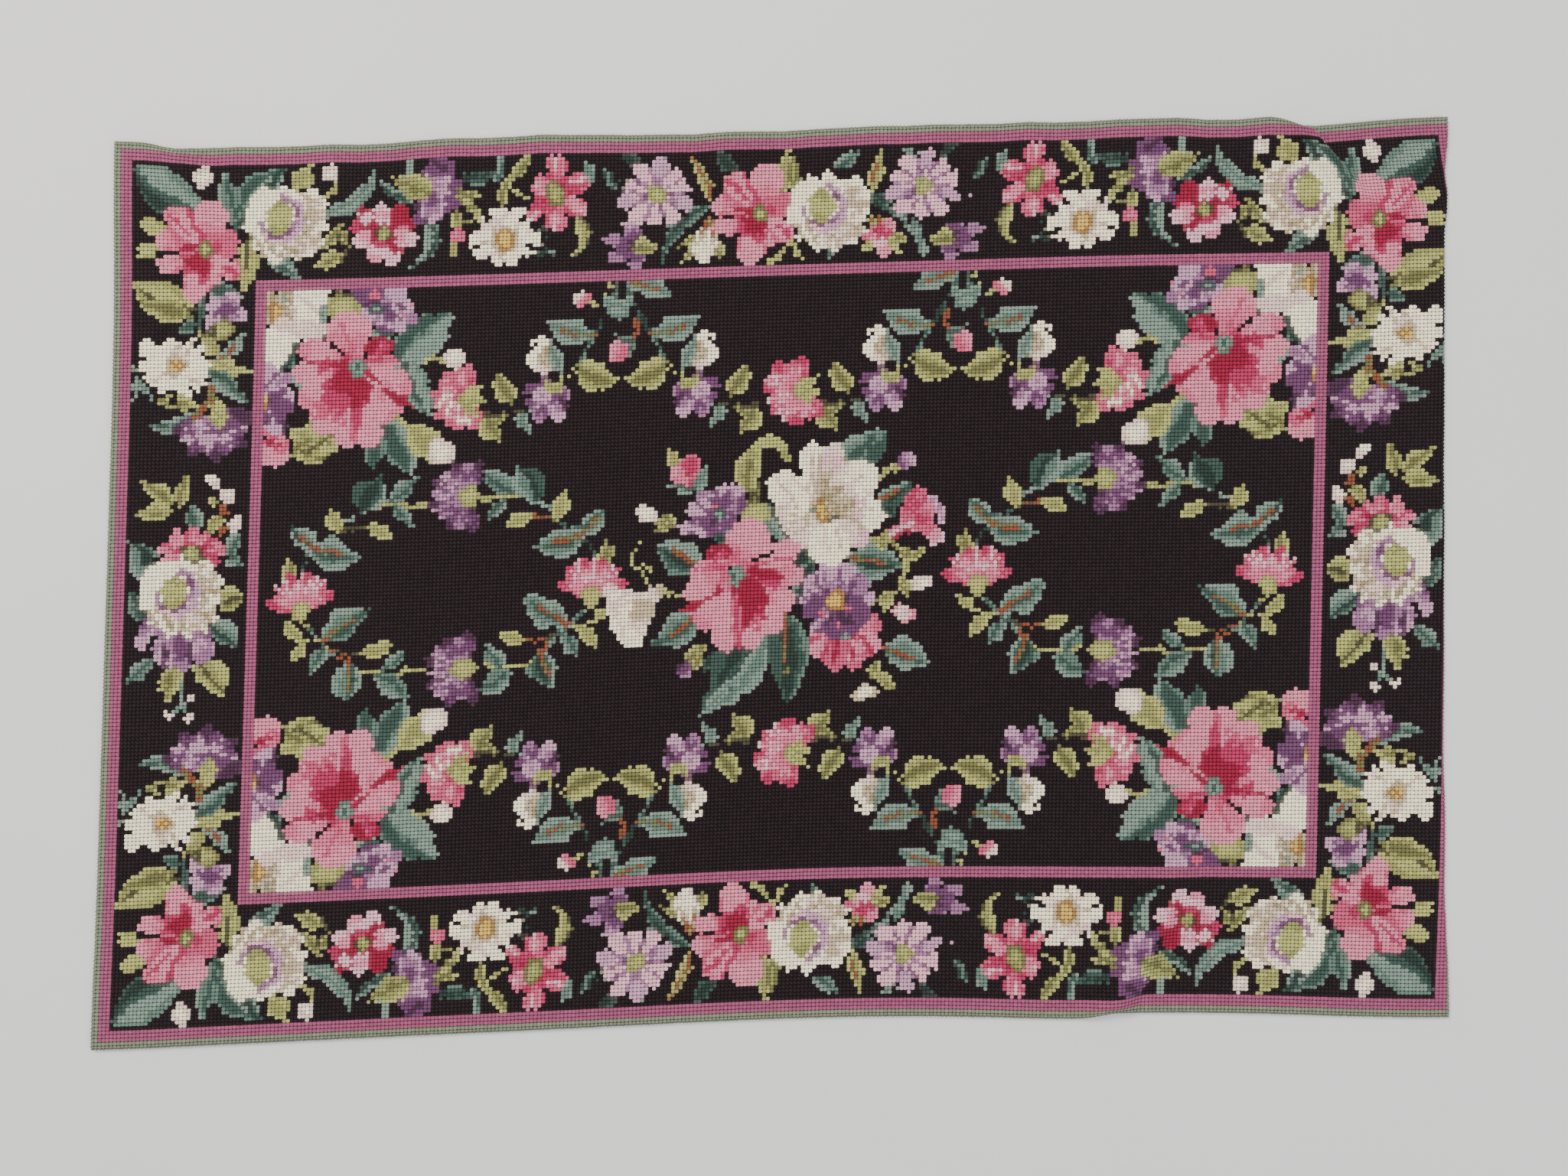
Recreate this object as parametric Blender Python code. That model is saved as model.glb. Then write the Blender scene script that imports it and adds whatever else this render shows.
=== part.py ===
"""A needlepoint canvas panel, stitched all over, lying on a flat surface with its edges turned under.

The panel is one piece of cloth and one solid: worked canvas with its hem folded beneath it. It is
made flat in cloth coordinates first, across and up the stitch grid from the middle of the panel, and
every point is then laid by one function that adds the skew of the canvas, the uneven edges and the
folds. Metres, +Z up, origin on the surface under the middle of the panel's box, +X along the rows.
"""

import math

import bmesh
import bpy

# The stitch grid sets the size of the worked cloth.
STITCH_ACROSS = 0.00254
STITCH_DOWN = 0.00249
COLUMNS = 362
ROWS = 246

# The cloth and its hem.
CLOTH_THICKNESS = 0.0030
HEM_THICKNESS = 0.0016
HEM_WIDTH = 0.020
HEM_SLOPE_END = 0.046
ROLL_RADIUS = (CLOTH_THICKNESS + HEM_THICKNESS) / 2
ROLL_STEPS = 5
STITCHES_TURNED_UNDER = 1.8

# The canvas is skewed: its columns lean to the right going up.
LEAN = math.tan(math.radians(3.0))

# The grid of the top sheet, and how often its cells are split near a fold.
CELLS_ACROSS = 36
CELLS_UP = 24
FOLD_SPLITS = 2
FOLD_MARGIN = 0.012
WELD = 1e-6

WOOL_COLOUR = (0.055, 0.040, 0.042, 1.0)
WOOL_ROUGHNESS = 0.95

# How far out the right edge is turned under, as the stitch column at which the cloth folds.
RIGHT_TURN_FIELDS = ("up", "column")
RIGHT_TURN = [
    (-0.302, 359.2),
    (-0.200, 356.8),
    (-0.100, 355.6),
    (0.010, 355.0),
    (0.070, 354.3),
    (0.215, 353.6),
    (0.253, 355.5),
    (0.295, 358.1),
]

# Folds that run in from the top (+1) or the bottom (-1) edge. Each has its crest at the edge and
# where it dies out, its reach into the panel, its height, its widths on either side of the crest,
# and how far the cloth on its right is drawn along and up.
FOLD_FIELDS = ("side", "crest_at_edge", "crest_inside", "reach", "height", "left", "right", "along", "up")
FOLDS = [
    (1, 0.345, 0.402, 0.080, 0.0090, 0.030, 0.010, -0.0085, -0.0050),
    (-1, 0.226, 0.285, 0.125, 0.0065, 0.026, 0.020, -0.0015, 0.0035),
    (1, -0.418, -0.388, 0.070, 0.0045, 0.026, 0.026, 0.0, -0.0020),
]

# Places where the cloth was pulled flat by hand and stayed a little out of square.
PULL_FIELDS = ("across", "height", "radius", "along", "up")
PULLS = [
    (-0.455, 0.300, 0.090, -0.0035, 0.0045),
    (-0.395, 0.300, 0.050, 0.0, -0.0035),
    (0.230, 0.300, 0.120, 0.0, 0.0022),
    (0.455, 0.300, 0.070, -0.0035, 0.0030),
    (0.460, -0.300, 0.120, 0.0, -0.0065),
    (0.190, -0.300, 0.060, 0.0, -0.0015),
    (-0.440, -0.290, 0.060, -0.0010, -0.0010),
    (-0.240, -0.300, 0.120, 0.0, 0.0015),
]

# The rows bow upwards in the middle of the panel, more at the bottom edge than at the top.
BOW_CENTRE = 0.030
BOW_WIDTH = 0.215
BOW_AT_TOP = 0.0012
BOW_AT_BOTTOM = 0.0080

LEFT_EDGE = (STITCHES_TURNED_UNDER - COLUMNS / 2) * STITCH_ACROSS
HALF_HEIGHT = (ROWS / 2 - STITCHES_TURNED_UNDER) * STITCH_DOWN


def smooth(value):
    """An even step from 0 to 1."""
    value = min(1.0, max(0.0, value))
    return value * value * (3 - 2 * value)


def named(fields, rows):
    """The rows of a table, each as a dictionary of its named columns."""
    return [dict(zip(fields, row)) for row in rows]


def right_edge(up):
    """Where the cloth folds at its right edge, across from the middle."""
    stations = named(RIGHT_TURN_FIELDS, RIGHT_TURN)
    column = stations[0]["column"]
    for low, high in zip(stations, stations[1:]):
        share = smooth((up - low["up"]) / (high["up"] - low["up"]))
        column += share * (high["column"] - low["column"])
    return (column - COLUMNS / 2) * STITCH_ACROSS


def from_edge(across, up):
    """Distance of a point of the cloth from the nearest turned edge."""
    return min(across - LEFT_EDGE, right_edge(up) - across, HALF_HEIGHT - abs(up))


def fold_at(fold, across, up):
    """A fold's strength at a point, and how far the point lies to the right of its crest."""
    inward = (HALF_HEIGHT - fold["side"] * up) / fold["reach"]
    crest = fold["crest_at_edge"] + (fold["crest_inside"] - fold["crest_at_edge"]) * inward
    return 1 - smooth(inward), across - crest


def lay(across, up, height):
    """Places a point of the flat cloth where it lies on the surface."""
    x = across + LEAN * up
    bow = BOW_AT_TOP + (BOW_AT_BOTTOM - BOW_AT_TOP) * smooth(0.5 - up / (2 * HALF_HEIGHT))
    y = up + bow * math.exp(-((across - BOW_CENTRE) / BOW_WIDTH) ** 2)
    z = height
    for fold in named(FOLD_FIELDS, FOLDS):
        strength, beyond = fold_at(fold, across, up)
        width = fold["left"] if beyond < 0 else fold["right"]
        if abs(beyond) < width:
            z += fold["height"] * strength * (0.5 + 0.5 * math.cos(math.pi * beyond / width))
        share = strength * smooth((beyond + fold["left"]) / (fold["left"] + fold["right"]))
        x += fold["along"] * share
        y += fold["up"] * share
    for pull in named(PULL_FIELDS, PULLS):
        distance = math.hypot(across - pull["across"], up - pull["height"])
        share = math.exp(-(distance / pull["radius"]) ** 2)
        x += pull["along"] * share
        y += pull["up"] * share
    return x, y, z


def cloth_point(u, v, inset):
    """A point of the flat cloth from its shares across and up, each from -0.5 to 0.5."""
    up = 2 * v * (HALF_HEIGHT - inset)
    left = LEFT_EDGE + inset
    right = right_edge(up) - inset
    return left + (u + 0.5) * (right - left), up


def hem_lift(across, up):
    """How far the cloth is raised where it lies on its own hem."""
    return HEM_THICKNESS * smooth((HEM_SLOPE_END - from_edge(across, up)) / (HEM_SLOPE_END - HEM_WIDTH))


def near_fold(u, v):
    """Whether a point of the top sheet lies on a fold or just beside one."""
    across, up = cloth_point(u, v, ROLL_RADIUS)
    for fold in named(FOLD_FIELDS, FOLDS):
        strength, beyond = fold_at(fold, across, up)
        if strength > 0 and -fold["left"] - FOLD_MARGIN < beyond < fold["right"] + FOLD_MARGIN:
            return True
    return False


def edge_section():
    """The cloth's section from the top sheet round its turned edge to the underside.

    Each station is a distance in from the edge, a height, and whether it rides over the hem.
    """
    section = [(ROLL_RADIUS, CLOTH_THICKNESS, True)]
    for step in range(1, ROLL_STEPS + 1):
        turn = math.pi * (0.5 - step / ROLL_STEPS)
        section.append((ROLL_RADIUS * (1 - math.cos(turn)), ROLL_RADIUS * (1 + math.sin(turn)), False))
    section.append((HEM_WIDTH, 0.0, False))
    section.append((HEM_WIDTH, 0.0, True))
    return section


def add_top_sheet(mesh):
    """A grid of shares across and up, not metres, split finer where the folds run."""
    bmesh.ops.create_grid(mesh, x_segments=CELLS_ACROSS, y_segments=CELLS_UP, size=0.5)
    for _ in range(FOLD_SPLITS):
        faces = [face for face in mesh.faces if any(near_fold(v.co.x, v.co.y) for v in face.verts)]
        edges = list({edge for face in faces for edge in face.edges})
        bmesh.ops.subdivide_edges(mesh, edges=edges, cuts=1, use_grid_fill=True)


def add_underside(mesh, station):
    """A copy of the top sheet, facing down, kept at the section's last station."""
    copied = bmesh.ops.duplicate(mesh, geom=mesh.verts[:] + mesh.edges[:] + mesh.faces[:])
    faces = [item for item in copied["geom"] if isinstance(item, bmesh.types.BMFace)]
    verts = list({v for face in faces for v in face.verts})
    bmesh.ops.reverse_faces(mesh, faces=faces)
    bmesh.ops.translate(mesh, verts=verts, vec=(0, 0, station))
    return faces


def sweep_edge(mesh, ring, stations):
    """Carries the top sheet's boundary through the section's stations to the underside."""
    for _ in range(stations):
        grown = bmesh.ops.extrude_edge_only(mesh, edges=ring)["geom"]
        ring = [item for item in grown if isinstance(item, bmesh.types.BMEdge)]
        verts = list({v for edge in ring for v in edge.verts})
        bmesh.ops.translate(mesh, verts=verts, vec=(0, 0, 1))


def panel_mesh():
    """The closed solid. Points are shares and a station number until they are laid at the end."""
    section = edge_section()
    last = len(section) - 1
    mesh = bmesh.new()
    add_top_sheet(mesh)
    ring = [edge for edge in mesh.edges if edge.is_boundary]
    underside = add_underside(mesh, last)
    sweep_edge(mesh, ring, last)
    bmesh.ops.remove_doubles(mesh, verts=mesh.verts[:], dist=WELD)

    for v in mesh.verts:
        inset, height, over_hem = section[round(v.co.z)]
        across, up = cloth_point(v.co.x, v.co.y, inset)
        if over_hem:
            height += hem_lift(across, up)
        v.co = lay(across, up, height)

    flat = [face for face in underside if all(abs(v.co.z) < WELD for v in face.verts)]
    bmesh.ops.dissolve_faces(mesh, faces=flat, use_verts=True)
    bmesh.ops.recalc_face_normals(mesh, faces=mesh.faces[:])
    centre_box(mesh)
    return mesh


def centre_box(mesh):
    """Moves the middle of the panel's box over the origin."""
    middle = []
    for axis in range(2):
        places = [v.co[axis] for v in mesh.verts]
        middle.append((min(places) + max(places)) / 2)
    bmesh.ops.translate(mesh, verts=mesh.verts[:], vec=(-middle[0], -middle[1], 0))


def wool_material():
    """Stitched wool, in the dark brown of the panel's ground."""
    material = bpy.data.materials.new("worked_wool")
    material.use_nodes = True
    shader = material.node_tree.nodes["Principled BSDF"]
    shader.inputs["Base Color"].default_value = WOOL_COLOUR
    shader.inputs["Roughness"].default_value = WOOL_ROUGHNESS
    shader.inputs["Metallic"].default_value = 0.0
    return material


def build_panel():
    """The panel's one object, shaded smooth."""
    mesh = panel_mesh()
    data = bpy.data.meshes.new("needlepoint_panel")
    mesh.to_mesh(data)
    mesh.free()
    data.shade_smooth()
    data.materials.append(wool_material())
    panel = bpy.data.objects.new("needlepoint_panel", data)
    bpy.context.scene.collection.objects.link(panel)
    return panel


def main():
    for thing in list(bpy.data.objects):
        bpy.data.objects.remove(thing, do_unlink=True)
    build_panel()


main()
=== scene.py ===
"""The looks of a needlepoint canvas panel: wool stitches on canvas, lying flat with a hem turned under.

Every stitch is a small lump of mesh in the colour that the stitch chart gives it. The chart is drawn
by formula: each flower and leaf is a petal, leaf, stem or oval of the kind a needleworker would
shade by hand. Cloth coordinates run across and up the canvas from its middle, in metres, and one
function lays them with the skew, the turned edges and the folds of the panel's own source.
Chart places are in stitches, columns from the left and rows from the top.
"""

import math

import bmesh
import bpy
import numpy as np
from mathutils import Matrix, Vector


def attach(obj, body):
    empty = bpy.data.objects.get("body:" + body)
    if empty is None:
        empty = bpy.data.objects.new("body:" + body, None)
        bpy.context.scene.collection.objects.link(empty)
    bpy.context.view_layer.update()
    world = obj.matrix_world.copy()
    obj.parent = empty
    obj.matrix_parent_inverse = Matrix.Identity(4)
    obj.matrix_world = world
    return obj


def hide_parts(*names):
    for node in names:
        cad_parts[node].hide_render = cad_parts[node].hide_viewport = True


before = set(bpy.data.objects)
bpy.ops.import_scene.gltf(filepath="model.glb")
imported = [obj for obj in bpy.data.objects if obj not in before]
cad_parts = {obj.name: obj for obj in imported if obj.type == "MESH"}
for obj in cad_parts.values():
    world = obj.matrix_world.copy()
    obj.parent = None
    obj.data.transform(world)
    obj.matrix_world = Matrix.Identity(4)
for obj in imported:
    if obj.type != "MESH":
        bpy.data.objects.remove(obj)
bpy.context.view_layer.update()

# The stitch grid and the cloth, as in the panel's source.
STITCH_ACROSS = 0.00254
STITCH_DOWN = 0.00249
COLUMNS = 362
ROWS = 246
CLOTH_THICKNESS = 0.0030
HEM_THICKNESS = 0.0016
HEM_WIDTH = 0.020
HEM_SLOPE_END = 0.046
ROLL_RADIUS = (CLOTH_THICKNESS + HEM_THICKNESS) / 2
STITCHES_TURNED_UNDER = 1.8
LEAN = math.tan(math.radians(3.0))
BOX_MIDDLE = (-0.009108, 0.000437)

# How far out the right edge is turned under, as the stitch column at which the cloth folds.
RIGHT_TURN_FIELDS = ("up", "column")
RIGHT_TURN = [
    (-0.302, 359.2),
    (-0.200, 356.8),
    (-0.100, 355.6),
    (0.010, 355.0),
    (0.070, 354.3),
    (0.215, 353.6),
    (0.253, 355.5),
    (0.295, 358.1),
]

# Folds that run in from the top (+1) or the bottom (-1) edge.
FOLD_FIELDS = ("side", "crest_at_edge", "crest_inside", "reach", "height", "left", "right", "along", "up")
FOLDS = [
    (1, 0.345, 0.402, 0.080, 0.0090, 0.030, 0.010, -0.0085, -0.0050),
    (-1, 0.226, 0.285, 0.125, 0.0065, 0.026, 0.020, -0.0015, 0.0035),
    (1, -0.418, -0.388, 0.070, 0.0045, 0.026, 0.026, 0.0, -0.0020),
]

# Places where the cloth was pulled flat by hand and stayed a little out of square.
PULL_FIELDS = ("across", "height", "radius", "along", "up")
PULLS = [
    (-0.455, 0.300, 0.090, -0.0035, 0.0045),
    (-0.395, 0.300, 0.050, 0.0, -0.0035),
    (0.230, 0.300, 0.120, 0.0, 0.0022),
    (0.455, 0.300, 0.070, -0.0035, 0.0030),
    (0.460, -0.300, 0.120, 0.0, -0.0065),
    (0.190, -0.300, 0.060, 0.0, -0.0015),
    (-0.440, -0.290, 0.060, -0.0010, -0.0010),
    (-0.240, -0.300, 0.120, 0.0, 0.0015),
]
# The small ripples of the top edge: stitches down from straight, at every eighth column.
RIPPLE_STEP = 8
RIPPLES = (
    -0.1, -0.1, 0.4, -0.1, -0.3, 0.1, 0.3, 0.1, 0.4, 0.2, -0.3, -0.6, -0.4, -0.5, -0.8, -0.5, -0.3, 0.0,
        0.1, 0.3, -0.1, 0.0,
    0.2, -0.1, -0.2, -0.4, -0.2, -0.3, -0.1, 0.1, -0.1, 0.3, 0.3, 0.0, 0.0, -0.1, 0.5, 0.5, -0.1, 0.1, 0.5,
        0.2, -0.1, -0.2,
)
RIPPLE_REACH = 0.055
RIPPLE_LIFT = 0.0008
# How the very edge droops where a fold holds it up.
DROOP_REACH = 0.008
DROOP_SHARE = 0.32
BOW_CENTRE = 0.030
BOW_WIDTH = 0.215
BOW_AT_TOP = 0.0012
BOW_AT_BOTTOM = 0.0080
LEFT_EDGE = (STITCHES_TURNED_UNDER - COLUMNS / 2) * STITCH_ACROSS
HALF_HEIGHT = (ROWS / 2 - STITCHES_TURNED_UNDER) * STITCH_DOWN

# The relief of one stitch, above or below the mean face of the work.
CROWN = 0.00026
BETWEEN_COLUMNS = -0.00022
BETWEEN_ROWS = -0.00050
PIN_HOLE = -0.00085
UNEVENNESS = 0.00007
CANVAS_DEPTH = -0.0014
CANVAS_HEM_HEIGHT = 0.00035
BACK_HEIGHT = 0.00008
LOWEST = 0.0001

# The camera, from the directions of the panel's edges in the photograph.
VIEW_ANGLE = math.radians(67.3)
CAMERA_TILT = math.radians(0.554)
CAMERA_ROLL = math.radians(1.519)
CAMERA_DISTANCE = 0.78865
CAMERA_TARGET = (-0.000856, -0.006458)

# How the mesh of stitches is cut, and the pieces it is made in: name, first column, first row.
SLANT = "FIXED"
QUARTERS = [
    ("stitches_top_left", 0, 0),
    ("stitches_top_right", COLUMNS // 2, 0),
    ("stitches_bottom_left", 0, ROWS // 2),
    ("stitches_bottom_right", COLUMNS // 2, ROWS // 2),
]
DYE_SPREAD = 0.20
GROUND_SPREAD = 0.6
# The colour of the painted sheen added to the crowns of the stitches.
PAINTED_SHEEN_COLOUR = (0.0150, 0.0125, 0.0130)
STRAND_BLEND = 0.15
BACK_MARGIN = 0.018
WOOL_SURFACE = {"Roughness": 0.92, "Sheen Weight": 0.06, "Sheen Roughness": 0.5, "Specular IOR Level": 0.12}

# The canvas under the wool.
CANVAS_CELLS_ACROSS = 320
CANVAS_CELLS_UP = 130
EDGE_CROWDING = 0.25
CANVAS_THREADS_ACROSS = 740
CANVAS_THREADS_UP = 510
CANVAS_COLOUR = (0.72, 0.68, 0.58, 1.0)

# The stage.
FLOOR_SIZE = 6.0
FLOOR_LIGHT = (0.78, 0.77, 0.75, 1.0)
FLOOR_DARK = (0.74, 0.73, 0.71, 1.0)
SKY_COLOUR = (0.95, 0.97, 1.0, 1.0)
SKY_STRENGTH = 0.80
LAMP_FIELDS = ("name", "place", "size", "watts", "colour")
LAMPS = [
    ("key_lamp", (-1.3, 1.6, 2.2), 1.2, 85.0, (1.0, 0.97, 0.93)),
    ("fill_lamp", (1.8, -0.9, 2.0), 1.6, 30.0, (0.93, 0.96, 1.0)),
]


# Yarn colours as they look in plain light, red, green and blue from 0 to 255.
YARNS = {
    "ground": (24, 12, 15),
    "rose": (148, 74, 104),
    "sage": (118, 124, 102),
    "olive_pale": (170, 168, 98),
    "olive": (144, 142, 82),
    "olive_deep": (104, 102, 60),
    "olive_dark": (64, 60, 42),
    "teal_pale": (118, 137, 123),
    "teal": (90, 112, 99),
    "teal_deep": (52, 74, 65),
    "teal_dark": (34, 50, 43),
    "rust": (126, 68, 44),
    "cream": (254, 241, 207),
    "blush": (230, 200, 186),
    "taupe": (186, 166, 134),
    "taupe_deep": (150, 132, 96),
    "pink_pale": (217, 128, 147),
    "pink": (208, 106, 130),
    "pink_mid": (192, 80, 108),
    "pink_deep": (171, 45, 82),
    "crimson": (140, 19, 50),
    "blush_pink": (226, 172, 182),
    "lilac_pale": (190, 144, 168),
    "lilac": (148, 102, 134),
    "purple": (100, 58, 92),
    "plum": (68, 38, 60),
    "gold": (208, 168, 86),
    "gold_deep": (150, 108, 56),
}
NAMES = list(YARNS)
BARE = -1

# Runs of yarns that are worked next to each other. Leaves run from the vein outwards, petals from
# their base to their tip.
TONES = {
    "pale_teal": ("teal", "teal_pale"),
    "mid_teal": ("teal_deep", "teal"),
    "dark_teal": ("teal_dark", "teal_deep"),
    "rimmed_teal": ("teal_dark", "teal_deep", "teal"),
    "olives": ("olive_deep", "olive", "olive_pale"),
    "pale_olive": ("olive", "olive_pale"),
    "dark_olive": ("olive_dark", "olive_deep"),
    "mid_olive": ("olive_deep", "olive"),
    "pinks": ("pink_deep", "pink", "pink_pale", "pink_pale"),
    "deep_pinks": ("crimson", "pink_deep", "pink_mid", "pink"),
    "pale_pinks": ("pink_mid", "pink_pale", "pink_pale", "pink"),
    "creams": ("taupe", "cream", "cream", "cream"),
    "blushes": ("taupe", "blush", "blush", "cream"),
    "purples": ("plum", "purple", "lilac"),
    "lilacs": ("purple", "lilac", "lilac_pale"),
}


def soft_noise(chance):
    """Uneven shifts over the chart, partly from stitch to stitch and partly over three or so."""
    fine = chance.normal(size=(ROWS, COLUMNS))
    broad = chance.normal(size=(ROWS, COLUMNS))
    for axis in (0, 1):
        broad = np.roll(broad, 1, axis) + broad + np.roll(broad, -1, axis)
    return 0.22 * fine + 0.36 * broad


class Chart:
    """A stitch chart. Places are in stitches, columns from the left and rows from the top."""

    def __init__(self, seed, margin=0, ragged=0.0):
        chance = np.random.default_rng(seed)
        self.yarn = np.full((ROWS, COLUMNS), BARE)
        self.col, self.row = np.meshgrid(np.arange(COLUMNS) + 0.5, np.arange(ROWS) + 0.5)
        edge = np.minimum(np.minimum(self.col, COLUMNS - self.col), np.minimum(self.row, ROWS - self.row))
        self.open = (edge > margin) if margin else (edge > 7) & (edge < 39)
        self.chance = chance.random((ROWS, COLUMNS))
        self.col = self.col + ragged * soft_noise(chance)
        self.row = self.row + ragged * soft_noise(chance)

    def work(self, inside, tones, shade=0.0):
        """Works the stitches inside a shape, each in the tone that its shade from 0 to 1 picks."""
        tones = TONES.get(tones, (tones,)) if isinstance(tones, str) else tones
        pick = np.clip(shade * len(tones) + 0 * self.col, 0, len(tones) - 1).astype(int)
        run = np.array([NAMES.index(tone) for tone in tones])
        inside = inside & self.open
        self.yarn[inside] = run[pick][inside]

    def along(self, base, tip, bend=0.0):
        """Each stitch's share of the way from base to tip, and its distance to the right of that line."""
        dx, dy = tip[0] - base[0], tip[1] - base[1]
        length = math.hypot(dx, dy)
        share = ((self.col - base[0]) * dx + (self.row - base[1]) * dy) / length**2
        off = ((self.row - base[1]) * dx - (self.col - base[0]) * dy) / length
        return share, off - bend * 4 * share * (1 - share)

    def petal(self, base, tip, width, tones, full=0.62, neck=0.35, bend=0.0, veins=0, vein=0.0, side=0.0,
              teeth=0, tooth=0.1, edge=None, rough=0.15):
        """A rounded petal, its tones running from base to tip, with veins and a toothed rim if wanted."""
        share, off = self.along(base, tip, bend)
        across = off / (width / 2)
        rise = neck + (1 - neck) * np.sin(np.clip(share / full, 0, 1) * math.pi / 2)
        fall = np.sqrt(np.clip(1 - ((share - full) / (1 - full)) ** 2, 0, 1))
        half = width / 2 * np.where(share < full, rise, fall)
        rim = 1 - tooth * abs(np.sin(teeth * math.pi * (across + 1) / 2)) if teeth else 1
        inside = (share > 0) & (share < rim) & (abs(off) < half)
        shade = share + side * across + vein * np.cos(veins * math.pi * across) + rough * (self.chance - 0.5)
        self.work(inside, tones, shade)
        if edge:
            self.work(inside & (abs(off) > half - 0.9) & (share < 0.8), edge)

    def leaf(self, base, tip, width, left, right, bend=0.0, vein=None, full=0.45, reach=0.8, rough=0.2):
        """A pointed leaf: its left half and right half have their own tones, each from the vein outwards."""
        share, off = self.along(base, tip, bend)
        inner = np.clip(share, 0, 1)
        rise = np.sin(np.clip(inner / full, 0, 1) * math.pi / 2) ** 0.85
        fall = 1 - np.clip((inner - full) / (1 - full), 0, 1) ** 1.7
        half = width / 2 * np.where(inner < full, rise, fall)
        inside = (share > 0) & (share < 1) & (abs(off) < np.maximum(half, 0.55))
        out = abs(off) / np.maximum(half, 0.8) + rough * (self.chance - 0.5)
        self.work(inside & (off < 0), left, out)
        self.work(inside & (off >= 0), right, out)
        if vein:
            self.work(inside & (abs(off) < 0.6) & (share < reach), vein)

    def leaves(self, rows):
        """Leaves from rows of base, tip, width, left tones, right tones, bend and vein."""
        for row in rows:
            self.leaf(row[0:2], row[2:4], row[4], row[5], row[6], *row[7:])

    def stem(self, points, tones, width=1.1):
        """A stem through points, its tones mixed along it."""
        for base, tip in zip(points, points[1:]):
            share, off = self.along(base, tip)
            length = math.dist(base, tip)
            inside = (share * length > -0.4) & (share * length < length + 0.4) & (abs(off) < width / 2)
            self.work(inside, tones, self.chance)

    def disc(self, centre, radii, tones, light=(0, 0), turn=0.0, rough=0.15):
        """An oval, its tones running from its edge to its middle, or towards the light."""
        x, y = self.col - centre[0], self.row - centre[1]
        c, s = math.cos(math.radians(turn)), math.sin(math.radians(turn))
        away = np.hypot((x * c + y * s) / radii[0], (y * c - x * s) / radii[1])
        shade = 1 - away if light == (0, 0) else 0.5 + (x * light[0] + y * light[1]) / (radii[0] + radii[1])
        self.work(away < 1, tones, shade + rough * (self.chance - 0.5))

    def arc(self, centre, radii, start, sweep, width, tones):
        """A curved band round a centre, both angles in degrees clockwise from the right."""
        x, y = (self.col - centre[0]) / radii[0], (self.row - centre[1]) / radii[1]
        angle = (np.degrees(np.arctan2(y, x)) - start) % 360
        inside = (abs(np.hypot(x, y) - 1) * min(radii) < width / 2) & (angle < sweep)
        self.work(inside, tones, angle / sweep)

    def bloom(self, centre, radii, petals, depth, tones, turn=0.0, streaks=0, streak=0.0, light=(0, 0),
            rough=0.15):
        """A round flower head with lobed edges, its tones running from its middle outwards."""
        x, y = (self.col - centre[0]) / radii[0], (self.row - centre[1]) / radii[1]
        angle = np.arctan2(y, x) - math.radians(turn)
        away = np.hypot(x, y) / (1 - depth * abs(np.sin(petals * angle / 2)))
        shade = (away + streak * np.cos(streaks * angle) + x * light[0] + y * light[1]
                + rough * (self.chance - 0.5))
        self.work(away < 1, tones, shade)

    def fringe(self, base, tip, spread, deep, pale, blades=11, rough=0.3):
        """A fringed flower head seen from the side, of narrow blades that open from its base."""
        length, heading = math.dist(base, tip), math.atan2(tip[1] - base[1], tip[0] - base[0])
        width = 2 * math.radians(spread) * length * 0.8 / blades + 1.0
        for k in sorted(range(blades), key=lambda k: (k % 2, -abs(2 * k - blades + 1))):
            out = 2 * k / (blades - 1) - 1
            turn = heading + math.radians(spread) * out
            reach = length * (1 - 0.1 * out * out) * (1.0, 0.86, 1.02, 0.9)[k % 4]
            end = (base[0] + reach * math.cos(turn), base[1] + reach * math.sin(turn))
            self.petal(base, end, width, pale if k % 2 else deep, full=0.72, neck=0.2, rough=rough)


# How uneven the outlines of the flowers are, in stitches.
RAGGED = 0.24

# How far the mirrored half of the swag is moved along to meet the other half.
SWAG_SHIFT = -89


def put(chart, part, flip_across=False, flip_down=False, shift=0):
    """Works a part of the design into the chart, mirrored or moved along."""
    yarn = part.yarn[:, ::-1] if flip_across else part.yarn
    yarn = yarn[::-1] if flip_down else yarn
    yarn = np.roll(yarn, shift, axis=1)
    chart.yarn = np.where(yarn == BARE, chart.yarn, yarn)


def petals(c, centre, rows, **how):
    """The petals of one flower, from rows of tip across and down, width and tones."""
    for across, down, width, tones in rows:
        c.petal(centre, (centre[0] + across, centre[1] + down), width, tones, **how)


def notches(c, centre, radii, count, turn, tones="ground", start=0.8, width=1.0):
    """Short gaps between the petals of a round flower, running in from its edge."""
    for k in range(count):
        angle = math.radians(turn + 360 * k / count)
        across, down = radii[0] * math.cos(angle), radii[1] * math.sin(angle)
        c.stem([(centre[0] + start * across, centre[1] + start * down),
                (centre[0] + across, centre[1] + down)], tones, width)


def draw_frames(c):
    """The ground and the plain bands: sage and rose at the edge, rose again round the field."""
    edge = np.minimum(np.minimum(c.col, COLUMNS - c.col), np.minimum(c.row, ROWS - c.row))
    c.open = edge > 0
    c.work(c.open, "ground")
    c.work(edge < 4, "sage")
    c.work((edge > 4) & (edge < 7), "rose")
    c.work((edge > 39) & (edge < 42), "rose")


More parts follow.
